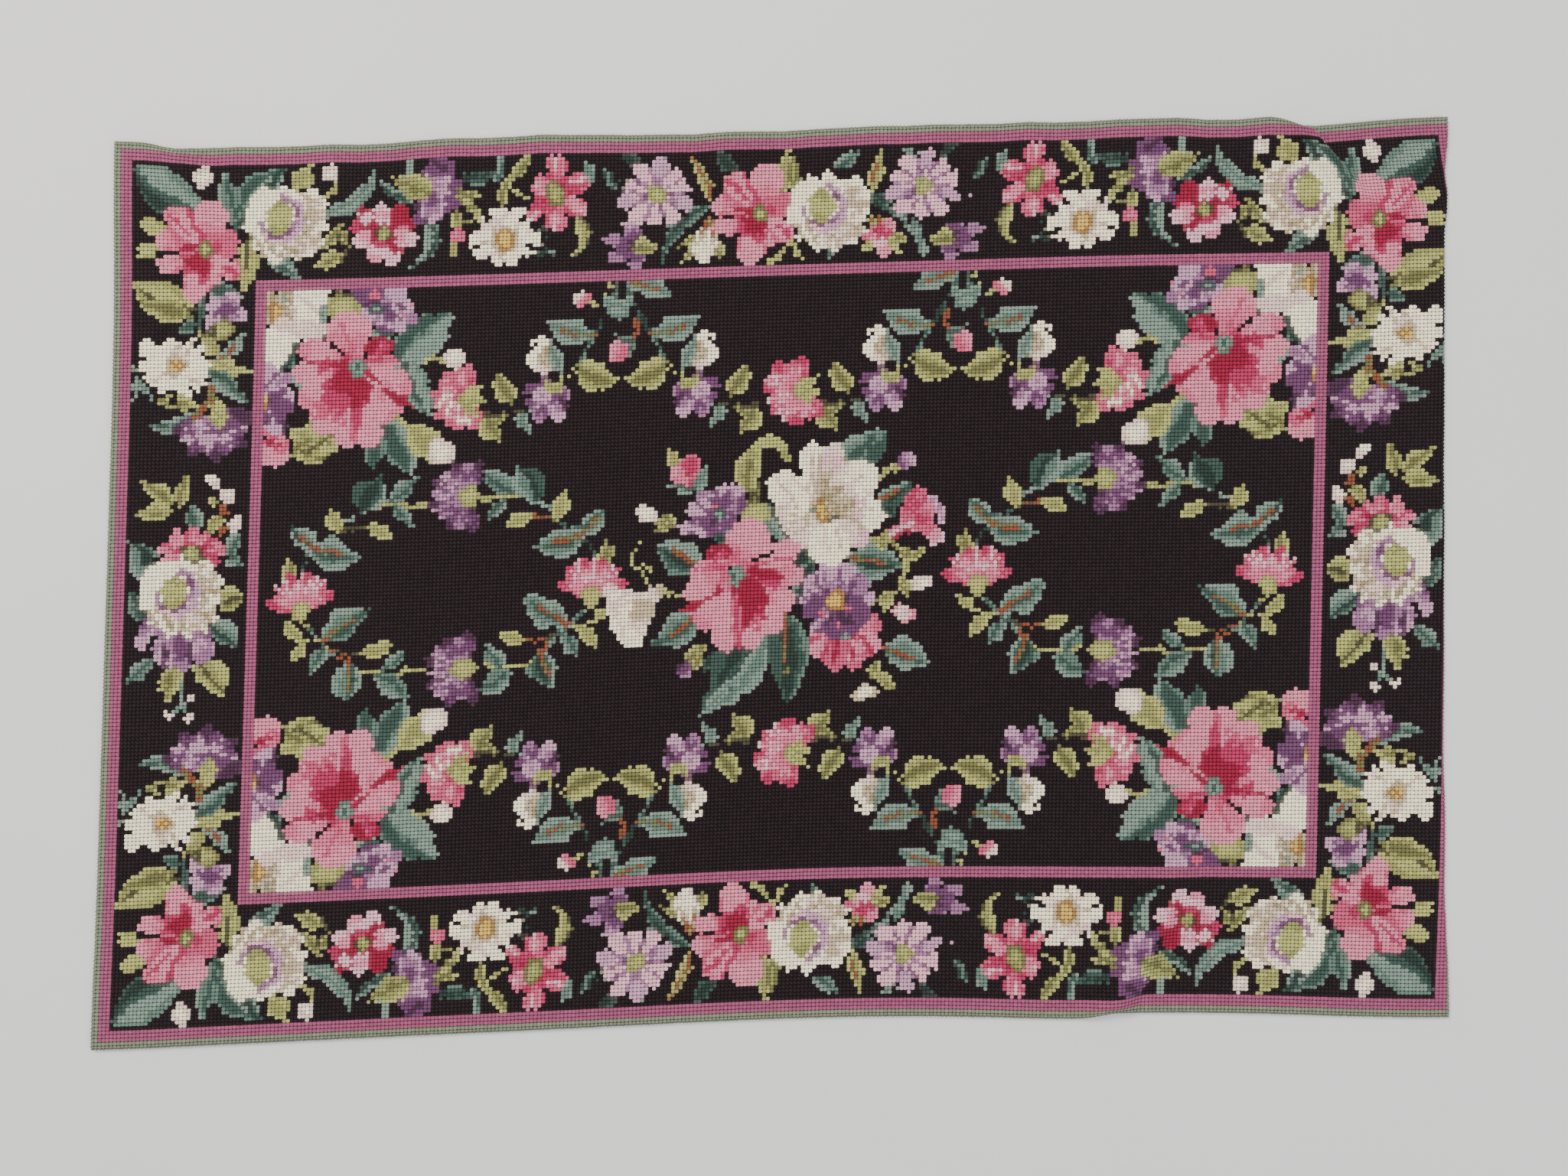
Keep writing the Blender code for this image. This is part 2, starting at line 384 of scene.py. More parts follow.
def pink_flower(c, x, y):
    """The large pink flower of the border."""
    petals(c, (x, y), [
        (-3.6, 14.4, 8.4, ("crimson", "crimson", "pink_mid", "pink_pale", "pink_pale", "pink_pale")),
        (2.4, 9.6, 6.6, ("crimson", "pink_mid", "pink_pale", "pink_pale")),
        (8.4, 8.2, 6.6, ("pink_mid", "pink_pale", "pink_pale", "pink_pale", "pink")),
        (-12.6, 5.0, 6.4, ("crimson", "crimson", "pink_deep", "pink", "pink_pale", "pink_pale")),
        (-13.4, -2.4, 6.0, ("crimson", "pink_deep", "pink_mid", "pink", "pink_pale")),
        (8.4, -2.6, 7.4, ("crimson", "pink_deep", "pink_mid", "pink_mid", "pink_mid")),
        (-9.8, -10.6, 7.6, ("pink_mid", "pink_pale", "pink_pale", "pink_pale", "pink")),
    ], edge="pink_mid", rough=0.12)
    c.petal((x + 0.4, y - 1.6), (x + 2.0, y - 13.4), 9.2,
            ("pink_mid", "pink", "pink_pale", "pink_pale", "pink_pale"), rough=0.06)
    c.stem([(x - 1, y - 2), (x - 2.6, y - 6), (x - 4.6, y - 10.6)], "pink_deep", 1.5)
    c.stem([(x - 4.4, y - 3.4), (x - 9.2, y - 8.8)], "pink_deep", 1.2)
    c.stem([(x - 2, y - 0.2), (x - 7.4, y - 0.6)], "crimson", 1.5)
    c.stem([(x - 7.6, y + 1.2), (x - 10.4, y + 1.3)], "ground", 1.0)
    c.petal((x - 0.6, y + 1), (x - 5.6, y + 7), 5.0, ("crimson", "crimson", "pink_deep"))
    c.petal((x - 0.2, y + 1), (x - 0.8, y + 9.4), 3.4, ("crimson", "crimson", "pink_deep"))
    c.stem([(x + 4.4, y + 4.6), (x + 8.2, y + 8.0)], "pink_deep", 1.1)
    c.stem([(x + 6.4, y + 2.4), (x + 8.6, y + 2.0)], "ground", 0.9)
    c.disc((x - 0.2, y + 0.3), (2.0, 2.4), ("olive_deep", "olive_pale"))


def anemone(c, x, y):
    """A white anemone with an olive eye and a purple line round it."""
    c.bloom((x, y), (11.0, 11.4), 11, 0.16, ("cream", "cream", "blush", "cream"), turn=8, light=(0.1, 0.1))
    c.bloom((x + 5.6, y - 2.6), (6.0, 7.6), 7, 0.16, ("taupe", "taupe", "blush", "taupe", "cream"), turn=30,
            streaks=7, streak=0.3, rough=0.4)
    c.bloom((x + 2.6, y + 4.0), (8.4, 6.6), 9, 0.2, ("blush", "taupe", "blush", "taupe", "cream"), turn=15,
            streaks=9, streak=0.3, light=(-0.05, -0.1), rough=0.2)
    c.bloom((x - 5.2, y - 2.2), (5.4, 8.4), 7, 0.06, "cream", turn=10)
    for dx, dy, far_x, far_y in ((-8.4, 3.0, -5.4, 8.0), (-6.0, 2.8, -1.8, 9.0), (-0.6, 5.0, 3.4, 9.6),
            (4.4, 3.4, 8.6, 5.4), (5.6, -1.4, 9.8, -1.6)):
        c.stem([(x + dx, y + dy), (x + far_x, y + far_y)], ("taupe", "taupe_deep", "taupe"), 1.05)
    c.arc((x - 1.2, y - 1.4), (5.4, 6.0), -75, 215, 1.8,
            ("lilac_pale", "lilac_pale", "lilac_pale", "blush_pink"))
    c.arc((x - 2.1, y - 2.2), (4.9, 5.5), -80, 250, 1.15,
            ("lilac", "purple", "lilac", "purple", "purple", "lilac"))
    c.petal((x - 1.9, y + 3.0), (x - 1.9, y - 6.6), 7.0, ("olive", "olive_pale", "olive_pale", "olive"),
            full=0.5, neck=0.4)


def corner_of_border(c):
    """The corner of the border: pink flower, white anemone and their leaves."""
    c.leaves([
        (25.5, 19.6, 7.6, 8.6, 11.5, ("teal_deep", "teal_deep", "teal_dark"),
         ("teal_pale", "teal_pale", "teal"), -0.6, "teal_pale", 0.6, 0.9),
        (17.4, 21, 8.6, 13.6, 5.0, "dark_teal", "dark_teal"),
        (33.5, 24, 30.4, 9.6, 6.6, ("teal", "teal_pale"), ("teal_deep", "teal")),
        (33, 24, 46.8, 8.0, 10, ("teal_deep", "teal_deep", "teal"), ("teal_dark", "teal_deep", "teal_pale"),
         -1.6, "teal_pale", 0.5),
        (33, 26.4, 39.6, 15.2, 4.6, "mid_teal", "dark_teal"),
        (48.6, 14.4, 53.4, 7.6, 5.6, "pale_olive", ("olive_pale", "olive"), 0, "olive"),
        (54, 22, 70.2, 9.2, 5.4, "pale_teal", ("teal_pale", "teal"), 3.4),
        (56, 31, 61.6, 24.5, 3.6, "olives", "olives"),
        (60, 26, 64.2, 30.4, 2.6, "olives", "olives"),
        (62, 32, 54.4, 36.4, 4.6, "olives", "pale_olive"),
        (16.4, 26.2, 8.4, 22.8, 4.4, ("olive_pale", "olive_pale"), ("olive_pale", "olive")),
        (13.8, 28.6, 8.4, 33.4, 4.6, ("olive_pale", "olive"), ("olive_pale", "olive_pale")),
        (24.2, 46.5, 7.0, 39.4, 10.5, ("olive", "olive", "olive_pale"),
         ("olive_pale", "olive_pale", "olive"), -1.6, "olive_dark", 0.55, 0.85),
        (22.8, 49.0, 9.0, 44.6, 6.4, ("olive_deep", "olive", "olive_pale"), ("olive_deep", "olive")),
        (37, 27.5, 36.0, 41.8, 6.8, ("olive", "olive_pale", "olive"), ("olive", "olive_pale", "olive"), 0,
         "olive_dark", 0.45, 0.6),
        (42, 32.6, 50.8, 38.8, 4.6, ("teal_pale", "teal"), ("teal_deep", "teal")),
        (25.2, 39.4, 36, 43.4, 5.2, ("teal_deep", "teal"), ("teal_deep", "teal_pale"), 0.6),
    ])
    c.disc((25.4, 10.6), (2.6, 3.2), ("blush", "cream"))
    c.stem([(59.5, 11), (59.4, 14), (57.8, 16.4), (56.2, 17.2)], "pale_olive", 1.5)
    c.disc((58.2, 9.9), (2.2, 2.4), ("blush", "cream"))
    c.stem([(60, 28), (62, 31), (61.5, 34)], "olive_dark")
    c.stem([(25.6, 41.6), (25.4, 46), (24.4, 51.4)], ("teal_deep", "teal_deep", "teal"), 1.6)
    pink_flower(c, 26, 30.2)
    anemone(c, 46.6, 23.8)
    petals(c, (31.2, 47.4), [(-4.4, -3.0, 4.6, ("purple", "lilac_pale", "lilac_pale")),
                             (2.0, -5.0, 5.4, ("purple", "lilac", "lilac_pale")),
                              (6.0, 1.4, 4.0, ("purple", "lilac_pale")),
                             (1.4, 2.6, 3.4, ("purple", "lilac")),
                              (-5.0, 3.6, 4.6, ("purple", "lilac_pale", "lilac_pale"))])
    c.stem([(28.4, 48.4), (30.4, 46.8)], "purple", 1.2)
    c.disc((30.2, 52.4), (3.4, 2.8), "olives")
    c.disc((27.2, 52.8), (1.6, 1.4), "dark_olive")


def side_border(c):
    """The flowers that run on from the corner down the side."""
    c.leaves([
        (24, 50.4, 18, 52.6, 3.2, "mid_teal", "mid_teal"),
        (24, 52.2, 29.4, 60, 5.6, ("olive", "olive"), ("olive_pale", "olive_pale", "olive")),
        (26.4, 59.4, 39, 63.4, 4.2, "pale_olive", ("olive_pale", "olive"), 1.2),
        (29, 59.4, 36.8, 53.4, 4.0, "pale_teal", ("teal_pale", "teal_pale"), 1.0),
        (26, 62.6, 37.2, 72.4, 5.2, ("teal_deep", "teal_deep", "teal"), ("teal", "teal_pale", "teal_pale"),
         -0.6),
        (25, 73, 14, 70.6, 4.8, ("olive_deep", "olive", "olive"), ("olive_pale", "olive_pale", "olive"), 0.4),
        (25.4, 74.6, 12.0, 77.4, 5.4, ("teal", "teal_pale"), ("teal_deep", "teal", "teal_pale"), -1.8),
    ])
    c.stem([(30.4, 59), (34, 57.2)], ("rust", "rust", "olive_deep"), 1.5)
    c.stem([(8, 62.5), (9.4, 66), (13, 70.6)], "pale_teal", 1.3)
    c.stem([(6.8, 67), (9.4, 67.2)], "pale_teal", 1.2)
    c.stem([(9.5, 67), (7.8, 70.4)], "pale_teal", 1.3)
    c.fringe((28.6, 75.0), (30.2, 87.6), 76, ("plum", "purple", "purple", "plum"),
            ("lilac", "purple", "lilac_pale", "lilac_pale", "purple"), 9)
    c.petal((30, 80), (36.8, 73.2), 5.4, ("purple", "purple", "plum"))
    c.petal((28, 77), (21.8, 79.0), 4.6, ("lilac", "lilac_pale", "lilac", "purple"))
    c.stem([(28.4, 67), (28.8, 70.4), (25.4, 73.4), (23.6, 76.2)], ("rust", "olive_deep"), 1.9)
    c.leaf((29.4, 70.6), (31.0, 79.0), 5.2, ("olive_pale", "olive_pale"), ("olive_pale", "olive"))
    c.leaf((30.6, 76), (26.8, 72.6), 2.8, ("olive_pale", "olive_pale"), "olive")
    petals(c, (18.4, 61.8), [
        (-2.6, -7.6, 4.8, "creams"), (6.4, -6.6, 5.4, ("taupe", "blush", "cream", "cream")),
         (9.2, -0.4, 5.4, "creams"),
        (9.4, 4.4, 4.6, "creams"), (5.8, 8.0, 5.4, "creams"), (0.4, 7.6, 4.8, "creams"),
         (-4.8, 6.8, 5.0, "creams"),
        (-8.0, 4.2, 4.4, "creams"), (-9.2, -0.2, 5.0, "creams"), (-9.2, -6.6, 5.4, "creams"),
    ], neck=0.5, full=0.7, rough=0.08)
    notches(c, (18.4, 62), (10.4, 9.2), 10, 21, "ground", 0.76)
    c.stem([(17.8, 58.6), (19.2, 55.6)], ("taupe", "blush"), 1.7)
    c.stem([(20.4, 58.4), (22.8, 56)], ("blush", "taupe"), 1.1)
    c.stem([(21.6, 64), (24.6, 67)], ("blush", "taupe"), 1.1)
    c.stem([(15.2, 63.6), (12.4, 65.8)], ("blush", "taupe"), 1.1)
    c.disc((18.8, 61.6), (3.0, 2.5), ("taupe", "gold_deep", "gold_deep"))
    c.disc((18.4, 61.8), (1.7, 1.2), ("gold", "gold_deep"))


def side_centre(c):
    """The group in the middle of the side border."""
    c.leaves([
        (19, 98.8, 10.8, 92.2, 5.4, "olives", "olives", 0, "olive_deep"),
        (20.2, 99.4, 21.8, 91.4, 4.6, "mid_olive", "olives"),
        (19, 100.4, 9, 101.4, 5.6, "olives", "pale_olive"),
        (28.4, 107, 32.2, 101.4, 3.6, "olives", "pale_olive"),
        (28, 98.6, 31, 98.4, 2.4, "olives", "olives"),
        (25, 106.4, 24.2, 98.6, 5.8, "mid_teal", "pale_teal"),
        (33, 112.4, 37.2, 107.2, 3.8, "pale_teal", "mid_teal"),
        (32.6, 112, 37.2, 116, 4.0, "mid_teal", "pale_teal"),
        (15.4, 119.6, 7.8, 108.2, 7.4, "pale_teal", ("teal_dark", "teal_dark", "teal_deep", "teal")),
        (12.6, 131.4, 9, 121.6, 5.2, "mid_teal", "dark_teal"),
        (30.6, 125, 38.6, 124, 7.2, "pale_olive", ("olive_dark", "olive_deep", "olive")),
        (29.4, 130, 37.9, 138, 6.2, "pale_teal", ("teal_dark", "teal_deep", "teal"), 0, None, 0.4),
        (14.4, 140.2, 8.2, 146.4, 4.8, "mid_teal", "pale_teal"),
        (21, 141, 19, 152, 6.4, "pale_olive", "olives", 0.6),
        (26, 141, 33.8, 151, 8.6, ("olive", "olive_pale"), ("olive_dark", "olive", "olive_pale"), -1.0),
    ])
    c.petal((30.6, 95), (27.6, 90.6), 3.0, ("blush", "cream"))
    c.disc((33, 96.8), (2.4, 2.0), ("blush", "cream"))
    c.disc((35, 104.3), (2.1, 2.4), ("blush", "cream"))
    c.stem([(31.6, 99.8), (32.4, 101.4)], "rust", 1.8)
    c.stem([(33, 105.6), (31, 109.6)], "rust", 2.0)
    petals(c, (24.2, 112.3), [
        (-9.2, 0.4, 7.0, ("crimson", "pink_mid", "pink", "pink_pale")),
         (-6.0, -6.0, 6.6, ("pink_deep", "pink_pale", "pink")),
        (2.2, -7.0, 7.4, ("pink_deep", "pink_pale", "pink", "pink_mid")),
         (9.4, -1.0, 6.6, ("crimson", "pink_deep", "pink", "pink_mid")),
        (6.4, 4.2, 6.0, ("crimson", "pink_deep", "pink_deep")),
    ], teeth=3, edge="pink_deep", veins=3, vein=0.15)
    notches(c, (24, 112), (9.6, 7.4), 9, 12, "ground", 0.8)
    c.disc((24.4, 112.6), (3.6, 2.4), "dark_olive", turn=35)
    c.disc((24.0, 112.2), (2.4, 1.6), "pale_olive", turn=35)
    petals(c, (20.6, 131), [
        (-9.4, 0.2, 4.6, ("purple", "purple")), (-10.6, 6.4, 6.2,
         ("purple", "lilac", "lilac_pale", "lilac_pale")),
        (9.8, 3.4, 6.0, ("plum", "purple")), (9.2, 10.2, 7.6, ("purple", "lilac", "lilac_pale", "lilac")),
        (-3.6, 11.6, 6.4, ("purple", "lilac", "lilac_pale")),
         (2.6, 12.2, 6.6, ("plum", "purple", "purple", "lilac")),
    ], edge="lilac", full=0.7)
    c.stem([(14.6, 134), (12.6, 139.6)], "ground", 1.1)
    c.stem([(24.4, 136), (24.8, 142)], "plum", 1.4)
    c.stem([(18, 136), (17.4, 142)], ("plum", "purple"), 1.2)
    anemone(c, 21.6, 124.0)
    c.stem([(22.4, 147), (22.0, 152.6), (19.6, 155.6)], "pale_teal", 1.1)
    c.stem([(22.4, 152), (24.2, 155.6)], "pale_teal", 1.1)
    c.disc((25.0, 151.2), (1.2, 1.2), ("blush", "cream"))
    c.disc((19.4, 155.8), (1.7, 1.3), ("blush", "cream"))
    c.disc((24.4, 156.2), (1.2, 1.3), ("blush", "cream"))


def crimson_flower(c, x, y):
    """The small ragged flower in crimson and pale pink."""
    petals(c, (x, y), [
        (-9.4, -1.6, 4.6, ("crimson", "crimson", "pink_deep")),
         (9.6, -2.2, 4.2, ("crimson", "pink_mid", "crimson")),
        (5.2, 6.6, 4.6, "crimson"), (5.8, -7.2, 5.8, "crimson"),
         (-7.0, -7.0, 5.0, ("crimson", "crimson", "blush_pink", "crimson")),
        (-1.0, -7.8, 4.4, ("crimson", "blush_pink", "pink_pale", "blush_pink")),
         (8.8, 2.8, 4.8, ("crimson", "pink_pale", "blush_pink")),
        (3.2, 9.2, 4.4, ("crimson", "crimson", "blush_pink")),
         (-2.6, 8.4, 5.6, ("crimson", "pink_deep", "blush_pink", "pink_pale")),
        (-8.2, 3.0, 5.0, ("crimson", "pink_pale", "blush_pink")),
    ], rough=0.2, neck=0.3)
    c.disc((x + 0.2, y + 0.2), (2.9, 1.9), ("olive_dark", "olive", "olive_pale"), turn=30)


def thistle(c, x, y):
    """A purple flower head seen from the side, with its olive cup."""
    c.fringe((x, y), (x + 10.8, y + 1.6), 84, ("purple", "plum", "purple", "purple"),
            ("purple", "lilac", "lilac_pale", "purple"))
    c.petal((x + 1.5, y - 4), (x + 6, y - 9.4), 6.5, ("purple", "plum", "purple"))
    c.petal((x + 2, y + 2), (x + 4, y + 9), 4.4, "lilacs")
    c.leaf((x + 2.8, y + 1.0), (x - 8.0, y - 3.6), 6.8, "mid_olive", "pale_olive", 0, None, 0.35)


def primrose(c, x, y):
    """The white flower with five broad petals."""
    petals(c, (x, y), [(-3.4, -8.4, 8.4, "blushes"), (5.4, -8.0, 8.0, "creams"), (9.4, 1.6, 8.2, "creams"),
                       (0.6, 7.6, 8.4, "creams"), (-9.4, 2.0, 8.2, "creams")], edge="blush", neck=0.5,
                        full=0.66)
    notches(c, (x, y), (7.6, 7.0), 5, 20, ("blush", "taupe"), 0.3)
    notches(c, (x, y), (10.4, 9.6), 5, 20, "ground", 0.68, 1.3)
    c.disc((x + 0.1, y + 0.2), (3.4, 3.7), ("taupe", "taupe_deep"))
    c.disc((x + 0.1, y + 0.2), (2.3, 2.9), ("gold_deep", "gold", "gold"))


def six_petals(c, x, y):
    """The pink flower with six separate petals."""
    petals(c, (x, y), [
        (0, -11.2, 6.4, ("pink_deep", "pink_mid", "pink")),
         (8.8, -4.4, 6.0, ("crimson", "pink_deep", "pink_mid")),
        (8.2, 5.2, 6.2, ("pink_deep", "pink", "pink_pale", "pink_mid")),
         (0.6, 10, 6.8, ("pink_deep", "pink_mid", "pink", "pink_mid")),
        (-6.6, 6.4, 6.4, ("crimson", "pink_deep", "pink_mid")),
         (-6.4, -3.6, 6.8, ("pink_deep", "pink_pale", "pink", "pink_mid")),
    ], veins=3, vein=0.14, neck=0.4, edge="pink_deep", teeth=3)
    notches(c, (x, y), (9.4, 10.4), 6, 2, "ground", 0.62, 1.2)
    for across, down in ((0, -6.6), (5.2, -3.2), (5.4, 3.6), (0.4, 6.4), (-4.4, 4.4), (-4.2, -2.4)):
        c.stem([(x + across, y + down), (x + 1.45 * across, y + 1.45 * down)], ("pink_pale", "blush_pink"),
                1.4)
    c.disc((x, y), (2.7, 3.7), ("olive_deep", "olive", "olive_pale"))


def lilac_daisy(c, x, y):
    """The daisy in pale pinkish lilac."""
    for k in range(10):
        turn = math.radians(k * 36 - 14)
        tones = ("purple", "lilac", "lilac_pale", "lilac_pale") if k in (1, 5, 8) else ("lilac",
                "blush_pink", "blush_pink", "blush_pink")
        reach = 10.4 - 1.1 * (k % 3 == 0)
        c.petal((x, y), (x + reach * math.cos(turn), y + 0.95 * reach * math.sin(turn)), 4.9, tones,
                neck=0.4, full=0.7, rough=0.1)
    notches(c, (x, y), (7.2, 6.8), 10, 4, ("lilac", "lilac", "purple"), 0.4)
    notches(c, (x, y), (11, 10.6), 10, 4, "ground", 0.72)
    c.disc((x, y + 0.1), (2.5, 2.5), ("olive", "olive_pale"))


def top_border(c):
    """The flowers along half of the top border."""
    c.leaves([
        (76, 18.5, 78.6, 6.0, 3.2, "teal_pale", ("teal", "teal_pale"), 1.2),
        (80, 18.6, 70.6, 13.2, 3.6, "dark_teal", ("teal_pale", "teal")),
        (92, 14.2, 103, 11.8, 3.2, "teal_deep", ("teal_pale", "teal")),
        (101.5, 14, 102.6, 5.6, 2.4, "teal_pale", "mid_teal", 1.2),
        (92, 27.5, 91, 21, 4.0, "olives", "olives"),
        (91.5, 25, 95.8, 24, 1.8, "olives", "olives"),
        (103, 15, 111, 6.4, 3.4, "pale_olive", "mid_olive", 0.8),
        (105.6, 12.5, 103, 21.8, 3.0, "olives", "olives", 0.6),
        (81, 21, 79.6, 37, 4.4, "rimmed_teal", ("teal_pale", "teal_pale"), -5.0),
        (125, 9.8, 127.8, 14.6, 3.6, "pale_teal", "pale_teal"),
        (121, 22.6, 121.2, 36.4, 4.2, ("olive", "olive_dark"), "pale_olive", -4.6),
        (141, 11, 133.6, 6.4, 3.2, "teal_dark", "dark_teal"),
        (143, 11.5, 147.6, 8.4, 3.6, "pale_teal", "pale_teal"),
        (158.6, 20.6, 153.6, 8.6, 3.8, "pale_olive", ("rust", "olive"), 0.8),
        (160.5, 21.5, 145.8, 38.4, 4.6, "mid_teal", ("teal_dark", "teal_deep", "teal"), 3.6),
        (165.6, 13, 159.4, 7.8, 4.6, "dark_teal", "dark_teal"),
    ])
    c.stem([(93, 12.4), (100, 12.8)], "dark_teal", 2.2)
    c.stem([(91.5, 16.4), (94, 18), (97, 17)], "olives", 2.2)
    c.stem([(92, 18.5), (95, 20.5), (98, 23.5)], "olives", 2.4)
    c.disc((91.8, 28.4), (2.2, 2.2), ("pink_mid", "pink"))
    c.stem([(91.4, 30.6), (91.2, 33.4)], "olive", 1.8)
    c.stem([(106, 15.6), (110.5, 18.6)], "pale_olive", 1.2)
    c.stem([(112.8, 26), (115, 29), (114, 35)], ("teal_dark", "ground"), 3.2)
    c.stem([(115.5, 31), (117.6, 35.6)], ("teal_dark", "teal_pale", "ground"), 1.4)
    c.stem([(130.4, 12), (133, 16), (136.4, 16)], ("teal_dark", "teal", "ground"), 3.0)
    crimson_flower(c, 72.4, 26.6)
    thistle(c, 82.5, 15.5)
    primrose(c, 104.4, 29.6)
    six_petals(c, 117.6, 18)
    petals(c, (140, 32), [(-7.4, 4.4, 4.0, "purples"), (-0.6, 7.4, 3.8, "purples"),
            (-9.2, -1.6, 4.0, "purples"),
                          (-3.4, -6.6, 4.6, ("plum", "purple", "lilac", "lilac_pale"))])
    c.leaf((138, 33.4), (145, 32.4), 5.4, "olives", "mid_olive")
    lilac_daisy(c, 144.5, 18.5)
    c.leaves([(156.5, 30, 150.6, 33.4, 2.4, "olives", "olives"),
            (158, 31, 151.0, 37.4, 3.4, "olives", "olives"),
              (159, 30, 162.4, 37.4, 3.6, "olives", "olives")])
    c.petal((159.4, 26), (156.4, 38.6), 6.4, ("rust", "taupe", "cream", "blush", "cream"), full=0.55,
            neck=0.5, veins=2, vein=0.2, teeth=2)
    c.disc((159.2, 27.4), (1.6, 1.6), ("rust", "olive"))


def top_centre(c):
    """The pair of flowers in the middle of the top border. What lies right of them isn't mirrored."""
    c.work((c.col > 192) & (c.col < 228) & (c.row < 29), "ground")
    c.work((c.col > 192) & (c.col < 217) & (c.row > 20) & (c.row < 40), "ground")
    c.leaves([
        (214, 11.5, 209.6, 8.0, 4.0, "pale_teal", "pale_teal"),
        (218, 11, 224.4, 6.8, 3.4, "teal_dark", "dark_teal"),
        (177.4, 19.6, 179, 6.8, 4.8, "olives", "pale_olive"),
        (182, 18.4, 180.6, 8.8, 4.2, "mid_olive", ("olive", "olive_deep"), -1.2),
        (191.6, 13.4, 197.4, 8.4, 4.6, "pale_teal", "mid_teal"),
        (190, 33, 191.6, 38.4, 2.8, "mid_teal", "mid_teal"),
        (201.0, 19.8, 203.8, 8.2, 4.6, ("rust", "olive", "olive_pale"), "pale_olive"),
    ])
    c.stem([(174.6, 38), (177, 37), (180, 33)], "pale_olive", 1.4)
    c.stem([(181, 32.4), (182, 35.6), (183.5, 38)], "pale_olive", 1.4)
    c.stem([(198, 21), (206, 22.4)], "dark_teal", 4.2)
    c.stem([(206, 22.6), (210, 26)], "mid_teal", 4.0)
    c.stem([(210, 26), (213.4, 30.6)], ("teal", "teal_deep", "teal_pale"), 3.6)
    c.stem([(213.4, 30.6), (216, 37)], "pale_teal", 2.4)
    petals(c, (203, 28.6), [
        (-3.0, 4.6, 4.0, ("crimson", "pink_mid", "pink_mid")),
         (5.0, 1.6, 4.4, ("pink_pale", "pink", "pink_pale")),
        (4.6, 7.0, 5.0, ("pink_mid", "pink_deep", "pink_mid")),
         (1.0, 7.0, 4.6, ("crimson", "pink_pale", "pink_mid")),
        (3.0, 9.6, 4.2, ("pink_deep", "blush_pink", "pink_pale")),
    ], rough=0.25)
    c.leaves([(203, 29.4, 200.8, 26.4, 2.6, ("rust", "olive"), ("rust", "olive")),
            (203, 29, 203.4, 26.4, 2.2, ("rust", "olive"), ("rust", "olive")),
              (206.6, 31, 211.4, 33.6, 2.2, "olives", "olives"),
               (206, 32.6, 210.2, 37.2, 3.2, ("olive_pale", "olive"), "pale_olive"),
              (202, 33, 199, 36.4, 3.4, ("olive_pale", "olive"), "pale_olive")])
    lilac_daisy(c, 215, 18.4)
    pink_flower(c, 172.3, 24.0)
    anemone(c, 189.9, 25.0)


def hibiscus(c, x, y):
    """The teal centre that both hibiscus flowers share, with its short stalk."""
    c.disc((x, y), (2.3, 2.5), ("teal", "teal_pale", "teal"))
    c.stem([(x - 1.5, y + 2), (x + 0.5, y + 2.8)], ("teal", "teal_pale"), 1.4)
    c.disc((x - 0.3, y + 0.3), (1.0, 1.0), "teal_deep")


